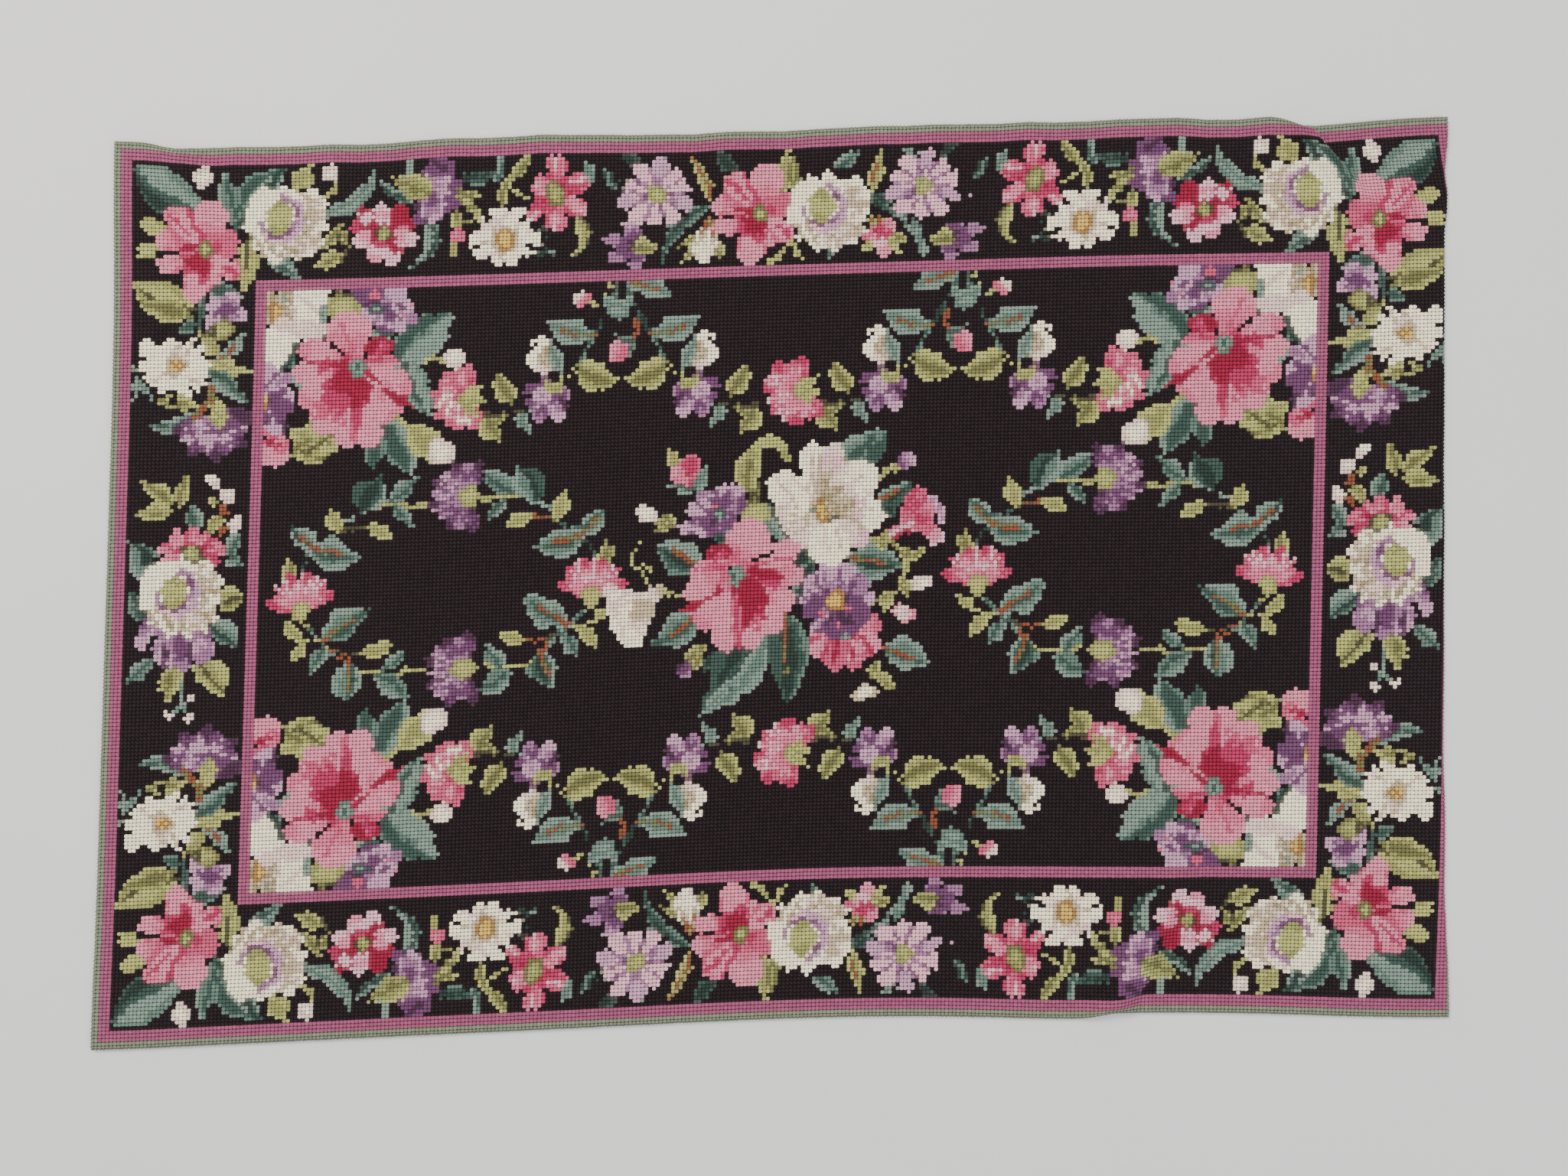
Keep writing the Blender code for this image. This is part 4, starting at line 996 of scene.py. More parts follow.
def bouquet_behind(c):
    """Leaves, buds and small flowers at the back of the middle group."""
    c.leaves([
        (151.8, 94, 149.8, 88.2, 3.6, "olives", "pale_olive"),
        (156, 100.2, 160.8, 92.8, 4.2, "pale_teal", "pale_teal"),
        (157.4, 100.4, 149.4, 98.0, 3.6, "pale_teal", "mid_teal"),
        (151.8, 109.6, 148.4, 105.6, 2.4, "olives", "olives"),
        (151, 109.2, 145.6, 110.8, 1.9, "olives", "olives"),
        (176, 104, 182, 116, 7.0, ("teal_dark", "teal_deep"), ("teal_pale", "teal"), 0),
        (169.5, 113, 160.6, 112.4, 5.0, "dark_teal", ("teal_deep", "teal", "teal_pale")),
        (194, 99, 206.8, 85.2, 10.5, ("teal_deep", "teal", "teal_pale"), ("teal", "teal_deep", "teal_deep"),
         -0.8, "teal_deep", 0.6),
        (188, 117, 183.6, 121.6, 5.6, "teal_dark", "dark_teal"),
        (188, 120, 184, 132, 5.4, "dark_teal", ("teal_dark", "teal")),
        (172.6, 139, 163.6, 156, 11.0, ("teal_dark", "teal_deep", "teal_deep"),
         ("teal_dark", "teal_deep", "teal_deep"), 0.6, "teal_dark", 0.6),
        (176.6, 138, 159.0, 161.6, 12.5, ("teal_deep", "teal", "teal_pale"),
         ("teal_dark", "teal_deep", "teal_deep"), -1.8, "teal_pale", 0.4, 0.95),
        (173, 138, 164, 154, 6.4, ("teal_dark", "teal_deep"), ("teal_dark", "teal_deep"), 0.6),
        (176.6, 141, 168.6, 155, 2.4, "teal", "teal_pale"),
        (170, 151, 159.6, 161, 3.2, ("teal", "teal_pale"), "teal_pale"),
        (160, 150, 163, 143, 3.0, "dark_teal", "dark_teal"),
        (205, 118, 211.4, 121.8, 4.0, "teal_pale", "teal"),
        (208, 94.8, 205.0, 98.8, 1.8, "pale_olive", "pale_olive"),
        (209.6, 97, 209.0, 93.4, 2.2, "pale_olive", "pale_olive"),
    ])
    rusty_leaves(c, [
        (159.4, 120.6, 147.0, 114.4, 10.5, ("teal_dark", "teal_deep", "teal"),
         ("teal_deep", "teal_pale", "teal_pale"), -0.8),
        (158.6, 134, 146.6, 141.8, 9.0, ("teal_deep", "teal", "teal_pale"),
         ("teal_deep", "teal", "teal_pale"), -0.4),
        (203.6, 105.4, 214.2, 99.0, 6.0, ("teal_deep", "teal", "teal_pale"),
         ("teal_dark", "teal_deep", "teal_deep"), 0.8),
        (197.6, 119.6, 211.6, 121.8, 11.5, ("teal_deep", "teal", "teal_pale"),
         ("teal_dark", "teal", "teal_pale"), 0.3),
        (181, 133.6, 182.6, 159.4, 11.5, ("teal_dark", "teal_deep", "teal"),
         ("teal_dark", "teal_deep", "teal_deep"), -1.0),
        (207.4, 144.4, 219.6, 148.8, 8.8, "pale_teal", ("teal_deep", "teal", "teal_pale"), -0.4),
    ])
    c.leaf((205.4, 104.6), (209.6, 109.2), 4.6, "dark_teal", "dark_teal")
    c.disc((155.4, 93.2), (2.7, 3.7), ("pink_mid", "pink_deep", "pink_deep"))
    c.petal((155.6, 97.6), (150, 93.6), 4.0, ("crimson", "pink", "pink_pale"))
    c.petal((156.4, 98), (151.4, 96.4), 3.0, ("pink_deep", "pink", "pink"))
    c.disc((143.9, 105.6), (3.2, 2.2), ("blush", "cream", "cream"), turn=18)
    c.disc((148, 107.8), (1.7, 1.7), ("olive_deep", "olive"))
    c.disc((212.6, 93.6), (2.6, 2.5), ("purple", "lilac", "lilac_pale"), light=(1.1, -0.4))
    c.petal((207.6, 113.8), (219, 107.6), 5.2, ("pink_mid", "pink", "pink_pale", "pink"), full=0.8, neck=0.3)
    c.petal((213.6, 112), (216.4, 100.6), 6.6, ("pink_mid", "pink_mid", "pink_deep", "pink_mid"), full=0.6,
            neck=0.6, rough=0.4)
    c.petal((216, 111), (220.6, 103.2), 4.6, ("pink_deep", "pink_mid", "pink", "lilac_pale"), full=0.6)
    c.stem([(220.4, 104.4), (222.0, 107), (221.6, 111)], ("lilac_pale", "lilac", "blush_pink"), 1.6)
    c.petal((216.4, 109.4), (222.2, 116.8), 5.0, ("pink_deep", "pink_mid", "pink_pale", "blush_pink"),
            full=0.7)
    c.stem([(208.4, 113.2), (214.6, 110)], "blush_pink", 1.2)
    c.stem([(208.4, 114.4), (214, 112.6)], "crimson", 1.2)
    c.leaves([
        (206.4, 118, 207.4, 111.6, 3.6, "olives", "pale_olive"),
         (207.4, 117.4, 203.8, 114.4, 3.2, "pale_olive", "olives"),
        (208, 114.6, 211.8, 118.6, 2.0, "olives", "olives"),
        (213.4, 121, 218, 116.8, 3.0, "pale_olive", "olives"),
         (214, 121.6, 213, 117, 3.4, "olives", "olives"),
        (212, 124.4, 214.2, 120.4, 2.6, "pale_olive", "pale_olive"),
         (212.4, 123.4, 213.2, 131, 3.4, "pale_olive", "olives"),
        (211.4, 127, 213.6, 131, 2.6, "olives", "olives"),
        (208.4, 129.4, 207.4, 134.6, 3.2, "olives", "pale_olive"),
         (205.4, 131.8, 210.6, 129.2, 3.4, "olives", "pale_olive"),
        (204.6, 132.4, 202.8, 130.6, 3.0, "olives", "pale_olive"),
        (155.6, 147, 160.4, 141.8, 4.2, "olives", "pale_olive"),
         (157, 145, 154.4, 144.6, 3.0, "olives", "olives"),
        (157.4, 149.6, 159.6, 143, 3.0, "olives", "olives"),
        (204.6, 153, 206, 148, 3.8, "olives", "pale_olive"),
         (205.4, 150.4, 210.6, 156.2, 4.2, "pale_olive", "olives"),
    ])
    c.disc((217.4, 126.8), (3.0, 2.0), ("blush", "cream", "cream"))
    c.disc((212.6, 135.2), (3.2, 2.2), ("pink", "blush", "blush_pink"), turn=30)
    c.disc((154.8, 148.8), (2.4, 2.3), ("plum", "purple", "lilac"), light=(0.3, 0.9))
    c.disc((203, 156.8), (3.3, 1.9), ("taupe", "cream", "cream"), turn=-10)
    c.stem([(142.6, 114.2), (140.6, 116.4), (140.5, 119.4), (143.4, 122.2), (146, 126), (149.4, 127),
            (152, 128.4), (155, 128.2)], "pale_olive", 1.1)
    c.stem([(143.2, 120.2), (145.4, 120.8), (145.4, 122.4)], "pale_olive", 1.3)
    c.petal((140.6, 142.4), (138.4, 126.2), 9.4, ("cream", "cream", "cream", "blush"), full=0.84, neck=0.42,
            rough=0.1)
    c.petal((142.4, 141.4), (144.2, 127.6), 6.0, ("cream", "blush", "taupe", "taupe"), full=0.8, neck=0.4)
    c.petal((138.4, 130), (133.8, 125.2), 4.0, ("cream", "blush"))
    c.petal((143, 129.4), (149.4, 126.0), 3.6, ("taupe", "blush", "taupe"))
    c.stem([(138, 128.4), (145.0, 128.2)], ("blush", "cream"), 1.3)
    c.stem([(136, 129), (138.6, 138)], "blush", 1.0)

    petals(c, (163.5, 107), [
        (-10.8, 4.0, 4.6, ("purple", "lilac", "lilac_pale")),
         (-9.0, -2.0, 5.4, ("purple", "lilac_pale", "lilac_pale", "lilac_pale")),
        (-5.4, -6.6, 6.0, ("purple", "lilac_pale", "lilac_pale", "lilac")),
         (4.8, -8.4, 5.6, ("plum", "purple", "lilac", "lilac_pale")),
        (7.0, -3.4, 5.2, ("purple", "lilac", "purple")), (0.4, -8.4, 4.4, ("purple", "purple", "lilac_pale")),
        (4.6, 2.6, 4.6, ("lilac", "purple", "purple")), (0, 5.0, 4.0, ("purple", "lilac", "purple")),
        (-5.8, 6.0, 4.4, ("plum", "purple", "lilac_pale")),
    ], edge="purple", rough=0.12)
    c.stem([(155.4, 108.4), (161, 107.6)], ("purple", "plum"), 1.0)
    c.stem([(160.6, 102.4), (162.6, 105.4)], ("pink_mid", "purple"), 1.0)
    c.disc((163.4, 107), (1.8, 1.7), ("teal_deep", "teal_pale"))


def bouquet(c):
    """The middle group: white lily, hibiscus, violet and a half-hidden pink flower."""
    bouquet_behind(c)
    c.stem([(172.4, 98), (172.2, 104.4)], "dark_olive", 3.2)
    c.leaf((170.6, 101), (173.4, 88.4), 7.6, "olives", "pale_olive", -1.2, "olive_deep", 0.5)
    c.arc((176, 93.6), (5.0, 6.6), -172, 165, 2.6, ("olive", "olive_pale", "olive_pale", "olive_pale",
            "olive"))
    c.disc((173, 106.8), (4.0, 2.8), ("olive", "olive_pale", "olive_pale"))

    petals(c, (197, 139), [
        (9.8, -1.4, 7.6, ("pink_deep", "pink_mid", "pink", "pink_mid")),
         (-8.6, 2.4, 5.6, ("crimson", "pink_mid", "pink_pale")),
        (10.0, 5.6, 5.6, ("pink_mid", "pink_pale", "pink_pale")),
         (-8.4, 7.4, 6.4, ("pink_deep", "pink_mid", "pink_pale", "pink_pale")),
        (6.6, 8.6, 4.6, ("pink_deep", "pink_mid", "pink_pale", "pink_mid")),
         (-3.0, 11.6, 5.6, ("crimson", "pink_deep", "pink_mid", "pink_mid")),
        (3.2, 11.6, 5.2, ("crimson", "pink_pale", "pink_pale", "pink_mid")),
         (0, 9.4, 3.6, ("crimson", "pink_mid", "pink_mid")),
    ], rough=0.2)
    for x, y, tip_x, tip_y in ((190.2, 141.6, 188.4, 142.6), (192.6, 143.6, 191.4, 147.4),
            (195.6, 143.4, 194.8, 148.6), (199, 143, 200, 148), (202, 141.6, 204.6, 146)):
        c.stem([(x, y), (tip_x, tip_y)], ("pink_deep", "crimson", "pink_deep"), 1.2)
    c.disc((197.6, 141), (1.9, 1.4), "pale_teal")

    petals(c, (194.4, 131.4), [
        (9.6, 4.4, 6.4, ("purple", "plum", "purple", "purple")),
         (8.6, -5.6, 7.4, ("purple", "purple", "lilac", "lilac")),
        (-9.4, -1.4, 5.4, ("purple", "purple", "lilac_pale")),
         (-8.4, -6.6, 5.0, ("purple", "lilac", "lilac_pale", "lilac_pale")),
        (11.0, -0.6, 4.4, ("plum", "purple", "lilac_pale")),
         (4.0, -10.0, 7.0, ("purple", "lilac", "lilac_pale", "lilac_pale")),
        (-2.6, -10.4, 7.4, ("purple", "lilac", "lilac_pale", "lilac_pale")),
         (-8.6, 3.2, 5.4, ("plum", "purple", "purple")),
        (6.2, 8.6, 6.6, ("plum", "plum", "purple")), (0.6, 10.6, 7.0, ("plum", "plum", "purple")),
        (-4.6, 9.0, 5.6, ("purple", "plum", "purple")), (-6.0, 8.6, 2.8,
         ("lilac", "lilac_pale", "lilac_pale")),
    ], edge="purple", full=0.66, rough=0.12)
    c.stem([(194.4, 134), (195, 139)], ("pink_mid", "purple"), 1.1)
    c.stem([(197, 133), (200.6, 137)], ("pink_mid", "purple"), 1.1)
    c.stem([(191.6, 133.6), (190.6, 138.4)], ("pink_mid", "lilac"), 1.1)
    c.stem([(191, 127.4), (193, 129)], ("purple", "plum"), 1.2)
    for dx, dy in ((-6, -5), (-3, -7.4), (1.4, -8), (5.4, -6.4), (-8.4, -1.4), (8, -1.6)):
        c.stem([(194.4 + 0.5 * dx, 131.2 + 0.5 * dy), (194.4 + dx, 131.2 + dy)], ("purple", "lilac"), 0.9)
    c.disc((194.4, 131.2), (2.9, 2.8), ("gold_deep", "gold", "gold"))

    c.petal((190, 106), (187.0, 87.6), 8.0, ("taupe", "blush", "cream", "cream", "cream"), full=0.7)
    c.petal((191, 106), (193.4, 87.6), 7.4, ("taupe", "taupe", "blush", "blush_pink", "blush"), full=0.7,
            edge="taupe")
    c.petal((190, 107), (176.2, 97.2), 9.4, ("blush", "cream", "cream", "cream"), full=0.66)
    c.petal((190.6, 107), (178.4, 107.4), 9.0, ("taupe", "cream", "cream", "blush"), full=0.6)
    c.petal((190, 108), (182.4, 115.6), 8.6, ("taupe", "blush", "blush", "blush"), full=0.55, edge="taupe")
    c.petal((190, 107), (203.6, 94.4), 11.5, ("taupe_deep", "taupe", "blush", "cream", "cream"), full=0.66,
            edge="blush")
    c.petal((191, 107), (207.2, 108.4), 10.5, ("taupe_deep", "taupe", "blush_pink", "cream", "cream"),
            full=0.6)
    c.petal((191, 108), (203, 115.8), 7.4, ("taupe", "blush", "blush", "blush_pink"), full=0.6, edge="taupe")
    c.petal((189, 107), (194.4, 121.6), 10.5, ("blush", "cream", "cream", "cream"), full=0.68)
    for x, y, tip_x, tip_y in ((182.4, 97.2, 188, 103), (178.6, 98, 184, 104.6), (180, 106, 186.4, 109.4),
            (187.4, 92, 188.8, 102.4),
                               (186, 110.4, 182.6, 113.6), (192.6, 91, 192.4, 97), (200.6, 97, 195.8, 102),
                                (204.4, 106, 198, 106.6),
                               (201.6, 113.4, 195.4, 109.6), (191.6, 111, 191.8, 118),
                                (194.4, 111, 195.8, 117.4)):
        c.stem([(x, y), (tip_x, tip_y)], ("blush", "blush", "taupe"), 1.0)
    c.stem([(189.4, 104), (191.6, 96.6)], ("taupe_deep", "taupe"), 2.2)
    c.stem([(190.6, 104), (195, 100.4)], ("taupe_deep", "taupe"), 1.8)
    c.stem([(192, 106.6), (198.6, 105.6)], ("taupe_deep", "taupe"), 2.6)
    c.stem([(192, 108.6), (196.6, 108.4)], ("olive_dark", "taupe_deep"), 1.3)
    c.disc((190.4, 106.8), (1.9, 3.4), ("gold_deep", "gold", "gold"), turn=-8)
    c.stem([(187.6, 106), (189.4, 110)], ("teal", "taupe"), 1.2)

    c.petal((167, 123.6), (156, 121.8), 6.4, ("pink_mid", "pink", "pink", "pink_pale"), full=0.6, rough=0.1)
    c.petal((168, 124), (154.6, 129.0), 9.0, ("pink_mid", "pink", "pink_pale", "pink_pale"), full=0.66,
            rough=0.08)
    c.petal((169.6, 124), (183.6, 132.6), 8.4, ("crimson", "pink_mid", "pink", "pink_pale", "pink_pale"),
            rough=0.12)
    c.petal((169.4, 123), (186.4, 124.4), 7.6, ("crimson", "crimson", "pink_deep", "pink", "pink_pale"),
            full=0.66, rough=0.12)
    c.petal((168.4, 121.6), (185.2, 116.4), 7.4, ("pink_mid", "pink", "pink_pale", "pink_pale",
            "pink_pale"), full=0.62, rough=0.08)
    c.petal((168.8, 121.6), (172.6, 108.2), 11.4, ("pink_mid", "pink", "pink_pale", "pink_pale",
            "pink_pale"), full=0.6, side=0.12, rough=0.06)
    c.stem([(172, 119.8), (177.6, 117.6)], "ground", 0.9)
    c.stem([(170.6, 121.4), (177, 120.0), (183, 119.6)], ("pink_deep", "pink_mid"), 1.1)
    c.stem([(168.6, 120), (168.2, 114.6)], "pink_mid", 1.0)
    c.petal((169, 124), (179.6, 139.4), 9.6, ("crimson", "pink_mid", "pink", "pink_pale", "pink_pale"),
            full=0.66, rough=0.1)
    c.petal((168, 125), (158.6, 137.4), 9.0, ("pink_mid", "pink", "pink_pale", "pink_pale", "pink"),
            full=0.66, rough=0.08)
    c.petal((168.4, 125), (172.8, 144), 8.0, ("crimson", "crimson", "pink_deep", "pink_mid", "pink_pale",
            "pink_pale"), full=0.7, rough=0.12)
    c.petal((168.0, 125), (165.2, 144.6), 8.6, ("pink_mid", "pink_pale", "pink_pale", "pink_pale",
            "pink_pale"), full=0.72, neck=0.3, rough=0.06)
    c.petal((168.8, 123.4), (176.0, 138.6), 9.0, ("crimson", "crimson", "crimson", "pink_deep"), full=0.5,
            teeth=3, tooth=0.34, rough=0.25)
    c.leaf((168.8, 124), (171.2, 139), 4.4, ("crimson", "crimson"), ("crimson", "pink_deep"))
    c.leaf((168.4, 128), (169.2, 144.6), 3.0, ("pink_deep", "pink_mid"), ("pink_deep", "pink_mid"))
    c.leaf((170, 122.6), (180.6, 124.8), 4.0, ("crimson", "crimson"), ("crimson", "pink_deep"))
    c.disc((163, 117.4), (3.8, 2.9), ("crimson", "pink_deep", "pink_mid"))
    c.stem([(160.6, 119), (163, 116.2)], "crimson", 1.2)
    c.leaf((168, 120.8), (157.0, 121), 3.0, ("pink_deep", "pink_mid"), ("pink_mid", "pink"))
    c.stem([(166.4, 125.4), (163, 128.4), (160.6, 129.8), (157, 132)], ("crimson", "crimson", "pink"), 1.2)
    c.leaf((159.6, 131.6), (153.6, 132.6), 2.8, "crimson", "crimson")
    hibiscus(c, 168.5, 123.2)


def draw_chart():
    """The whole design. Most of it is drawn for the top left quarter and worked in all four."""
    chart = Chart(5)
    draw_frames(chart)
    border, side, middle = Chart(6, 0, RAGGED), Chart(7, 0, RAGGED), Chart(8, 0, RAGGED)
    side_border(border)
    corner_of_border(border)
    top_border(border)
    side_centre(side)
    top_centre(middle)
    field, half_swag, ring, group = Chart(9, 42, RAGGED), Chart(10, 42, RAGGED), Chart(11, 42,
            RAGGED), Chart(12, 42, RAGGED)
    field_corner(field)
    swag(half_swag)
    put(field, half_swag)
    put(field, half_swag, True, False, SWAG_SHIFT)
    swag_middle(field)
    garland(group)
    mirrored = Chart(5)
    put(mirrored, group)
    put(mirrored, group, False, True)
    wreath_top(ring)
    wreath_bottom(ring)
    for across in (False, True):
        for down in (False, True):
            put(chart, border, across, down)
            put(chart, field, across, down)
    for across in (False, True):
        put(chart, side, across, False)
        put(chart, middle, False, across)
        put(chart, ring, across, False)
    put(chart, mirrored)
    bunch = Chart(13, 42, RAGGED)
    bouquet(bunch)
    put(chart, bunch)
    return chart


def smooth(value):
    """An even step from 0 to 1."""
    value = np.clip(value, 0.0, 1.0)
    return value * value * (3 - 2 * value)


def named(fields, rows):
    """The rows of a table, each as a dictionary of its named columns."""
    return [dict(zip(fields, row)) for row in rows]


def right_edge(up):
    """Where the cloth folds at its right edge, across from the middle."""
    stations = named(RIGHT_TURN_FIELDS, RIGHT_TURN)
    column = stations[0]["column"]
    for low, high in zip(stations, stations[1:]):
        share = smooth((up - low["up"]) / (high["up"] - low["up"]))
        column = column + share * (high["column"] - low["column"])
    return (column - COLUMNS / 2) * STITCH_ACROSS


def hem_lift(across, up):
    """How far the cloth is raised where it lies on its own hem."""
    inward = np.minimum(np.minimum(across - LEFT_EDGE, right_edge(up) - across), HALF_HEIGHT - abs(up))
    return HEM_THICKNESS * smooth((HEM_SLOPE_END - inward) / (HEM_SLOPE_END - HEM_WIDTH))


def lay(across, up, height):
    """Places points of the flat cloth where they lie on the surface, as the rows of an array."""
    x = across + LEAN * up
    bow = BOW_AT_TOP + (BOW_AT_BOTTOM - BOW_AT_TOP) * smooth(0.5 - up / (2 * HALF_HEIGHT))
    y = up + bow * np.exp(-(((across - BOW_CENTRE) / BOW_WIDTH) ** 2))
    z = height
    for fold in named(FOLD_FIELDS, FOLDS):
        inward = (HALF_HEIGHT - fold["side"] * up) / fold["reach"]
        crest = fold["crest_at_edge"] + (fold["crest_inside"] - fold["crest_at_edge"]) * inward
        strength, beyond = 1 - smooth(inward), across - crest
        width = np.where(beyond < 0, fold["left"], fold["right"])
        arch = np.where(abs(beyond) < width, 0.5 + 0.5 * np.cos(math.pi * beyond / width), 0.0)
        droop = arch * smooth(1 - (HALF_HEIGHT - fold["side"] * up) / DROOP_REACH)
        z = z + fold["height"] * strength * arch * (1 - 0.45 * droop)
        y = y - fold["side"] * fold["height"] * DROOP_SHARE * droop
        share = strength * smooth((beyond + fold["left"]) / (fold["left"] + fold["right"]))
        x = x + fold["along"] * share
        y = y + fold["up"] * share
    for pull in named(PULL_FIELDS, PULLS):
        share = np.exp(-((np.hypot(across - pull["across"], up - pull["height"]) / pull["radius"]) ** 2))
        x = x + pull["along"] * share
        y = y + pull["up"] * share
    stations = (2 + RIPPLE_STEP * np.arange(len(RIPPLES)) - COLUMNS / 2) * STITCH_ACROSS
    ripple = np.interp(across, stations, RIPPLES) * smooth(1 - (HALF_HEIGHT - up) / RIPPLE_REACH)
    y = y - ripple * STITCH_DOWN
    z = z + RIPPLE_LIFT * (0.5 * smooth(1 - (HALF_HEIGHT - up) / RIPPLE_REACH) - ripple)
    return np.stack([x - BOX_MIDDLE[0], y - BOX_MIDDLE[1], z], axis=1)


def turn_edge(inward, out):
    """Rolls the cloth round its edge. Gives the distance in from the edge, the turn, and how far
    past the roll the cloth lies, from its distance in along the cloth and its place above the face."""
    past_start = ROLL_RADIUS - inward
    turn = np.clip(past_start / ROLL_RADIUS, 0.0, math.pi)
    beneath = np.maximum(0.0, past_start - math.pi * ROLL_RADIUS)
    rolled = ROLL_RADIUS - (ROLL_RADIUS + out) * np.sin(turn) + beneath
    return np.where(past_start > 0, rolled, inward), turn, beneath


def lay_cloth(across, up, out, floor=LOWEST):
    """Lays points of the cloth, rolling whatever lies past an edge round it and beneath the panel."""
    inset, turn_up, under_up = turn_edge(HALF_HEIGHT - abs(up), out)
    up = np.sign(up) * (HALF_HEIGHT - inset)
    right = right_edge(up)
    on_left = across - LEFT_EDGE < right - across
    inset, turn_across, under_across = turn_edge(np.where(on_left, across - LEFT_EDGE, right - across), out)
    across = np.where(on_left, LEFT_EDGE + inset, right - inset)
    turn = np.maximum(turn_up, turn_across)
    top = CLOTH_THICKNESS + hem_lift(across, up) + out
    rolled = ROLL_RADIUS + (ROLL_RADIUS + out) * np.cos(turn)
    sunk = smooth(np.maximum(under_up, under_across) / HEM_WIDTH * 3)
    rolled = rolled + (floor - rolled) * sunk
    return lay(across, up, np.maximum(np.where(turn > 0, rolled, top), floor))


def flat_grid(cells_across, cells_up, corner, far_corner):
    """A grid between two corners, in any units, with its own map from 0 to 1."""
    mesh = bmesh.new()
    mesh.loops.layers.uv.new("OFBake")
    bmesh.ops.create_grid(mesh, x_segments=cells_across, y_segments=cells_up, size=0.5, calc_uvs=True)
    size = Vector((far_corner[0] - corner[0], far_corner[1] - corner[1], 1.0))
    middle = Vector(((corner[0] + far_corner[0]) / 2, (corner[1] + far_corner[1]) / 2, 0.0))
    bmesh.ops.transform(mesh, matrix=Matrix.LocRotScale(middle, None, size), verts=mesh.verts[:])
    return mesh


def piece_from(mesh, name, material):
    """Makes a bmesh a piece of the object, shaded smooth, that rides with the panel."""
    data = bpy.data.meshes.new(name)
    mesh.to_mesh(data)
    mesh.free()
    data.shade_smooth()
    data.materials.append(material)
    piece = bpy.data.objects.new(name, data)
    bpy.context.scene.collection.objects.link(piece)
    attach(piece, "root")
    return piece


def points_of(data):
    """The vertices of a mesh, as the rows of an array."""
    points = np.empty(len(data.vertices) * 3)
    data.vertices.foreach_get("co", points)
    return points.reshape(-1, 3)


def place_points(data, points):
    data.vertices.foreach_set("co", points.astype(np.float32).ravel())
    data.update()


def middles_of(data):
    """The middle of each face of a mesh, as the rows of an array."""
    middles = np.empty(len(data.polygons) * 3)
    data.polygons.foreach_get("center", middles)
    return middles.reshape(-1, 3)


def yarn_colours():
    """Each yarn's colour in linear light, in the order of the chart's numbers."""
    share = np.array(list(YARNS.values())) / 255
    return np.where(share <= 0.04045, share / 12.92, ((share + 0.055) / 1.055) ** 2.4)


def blended_colours(chart):
    """The colour of every stitch. Two strands share a needle, so each stitch takes a little from the
    flower stitches round it, with the small differences of hand dyeing."""
    colours = yarn_colours()[chart.yarn]
    flowers = (chart.yarn != NAMES.index("ground")).astype(float)
    total, count = np.zeros_like(colours), np.zeros_like(flowers)
    for down, across in ((0, 1), (0, -1), (1, 0), (-1, 0)):
        near = np.roll(flowers, (down, across), (0, 1))
        total += np.roll(colours, (down, across), (0, 1)) * near[..., None]
        count += near
    share = STRAND_BLEND * flowers * (count > 0)
    around = total / np.maximum(count, 1)[..., None]
    colours = colours + (around - colours) * share[..., None]
    spread = np.where(flowers > 0, DYE_SPREAD, GROUND_SPREAD)
    return colours * (1 + spread * (chart.chance - 0.5))[..., None]


def colour_faces(data, colours, middles):
    """Gives each face the colour of the stitch that it belongs to."""
    columns = np.clip(middles[:, 0].astype(int), 0, COLUMNS - 1)
    rows = np.clip(middles[:, 1].astype(int), 0, ROWS - 1)
    layer = data.attributes.new("yarn", "FLOAT_COLOR", "FACE")
    faces = np.ones((len(middles), 4))
    faces[:, :3] = colours[rows, columns]
    layer.data.foreach_set("color", faces.ravel())


def work_quarter(name, colours, first_column, first_row, material):
    """One quarter of the stitched face: two cells across and two down for every stitch."""
    columns, rows = COLUMNS // 2, ROWS // 2
    corner = (first_column, ROWS - first_row - rows)
    mesh = flat_grid(2 * columns, 2 * rows, corner, (first_column + columns, ROWS - first_row))
    bmesh.ops.triangulate(mesh, faces=mesh.faces[:], quad_method=SLANT)
    piece = piece_from(mesh, name, material)
    middles = middles_of(piece.data)
    middles[:, 1] = ROWS - middles[:, 1]
    colour_faces(piece.data, colours, middles)

    points = points_of(piece.data)
    column, row = points[:, 0], points[:, 1]
    mid_column, mid_row = np.round(2 * column) % 2 == 1, np.round(2 * row) % 2 == 1
    relief = np.select(
        [mid_column & mid_row, mid_column, mid_row], [CROWN, BETWEEN_ROWS, BETWEEN_COLUMNS], PIN_HOLE
    )
    whole = np.random.default_rng(11).normal(size=(3, 2 * ROWS + 1, 2 * COLUMNS + 1))
    at = np.round(2 * row).astype(int), np.round(2 * column).astype(int)
    relief = relief + UNEVENNESS * whole[0][at]
    across = (column - COLUMNS / 2) * STITCH_ACROSS + UNEVENNESS * whole[1][at]
    up = (row - ROWS / 2) * STITCH_DOWN + UNEVENNESS * whole[2][at]
    place_points(piece.data, lay_cloth(across, up, relief))
    return piece


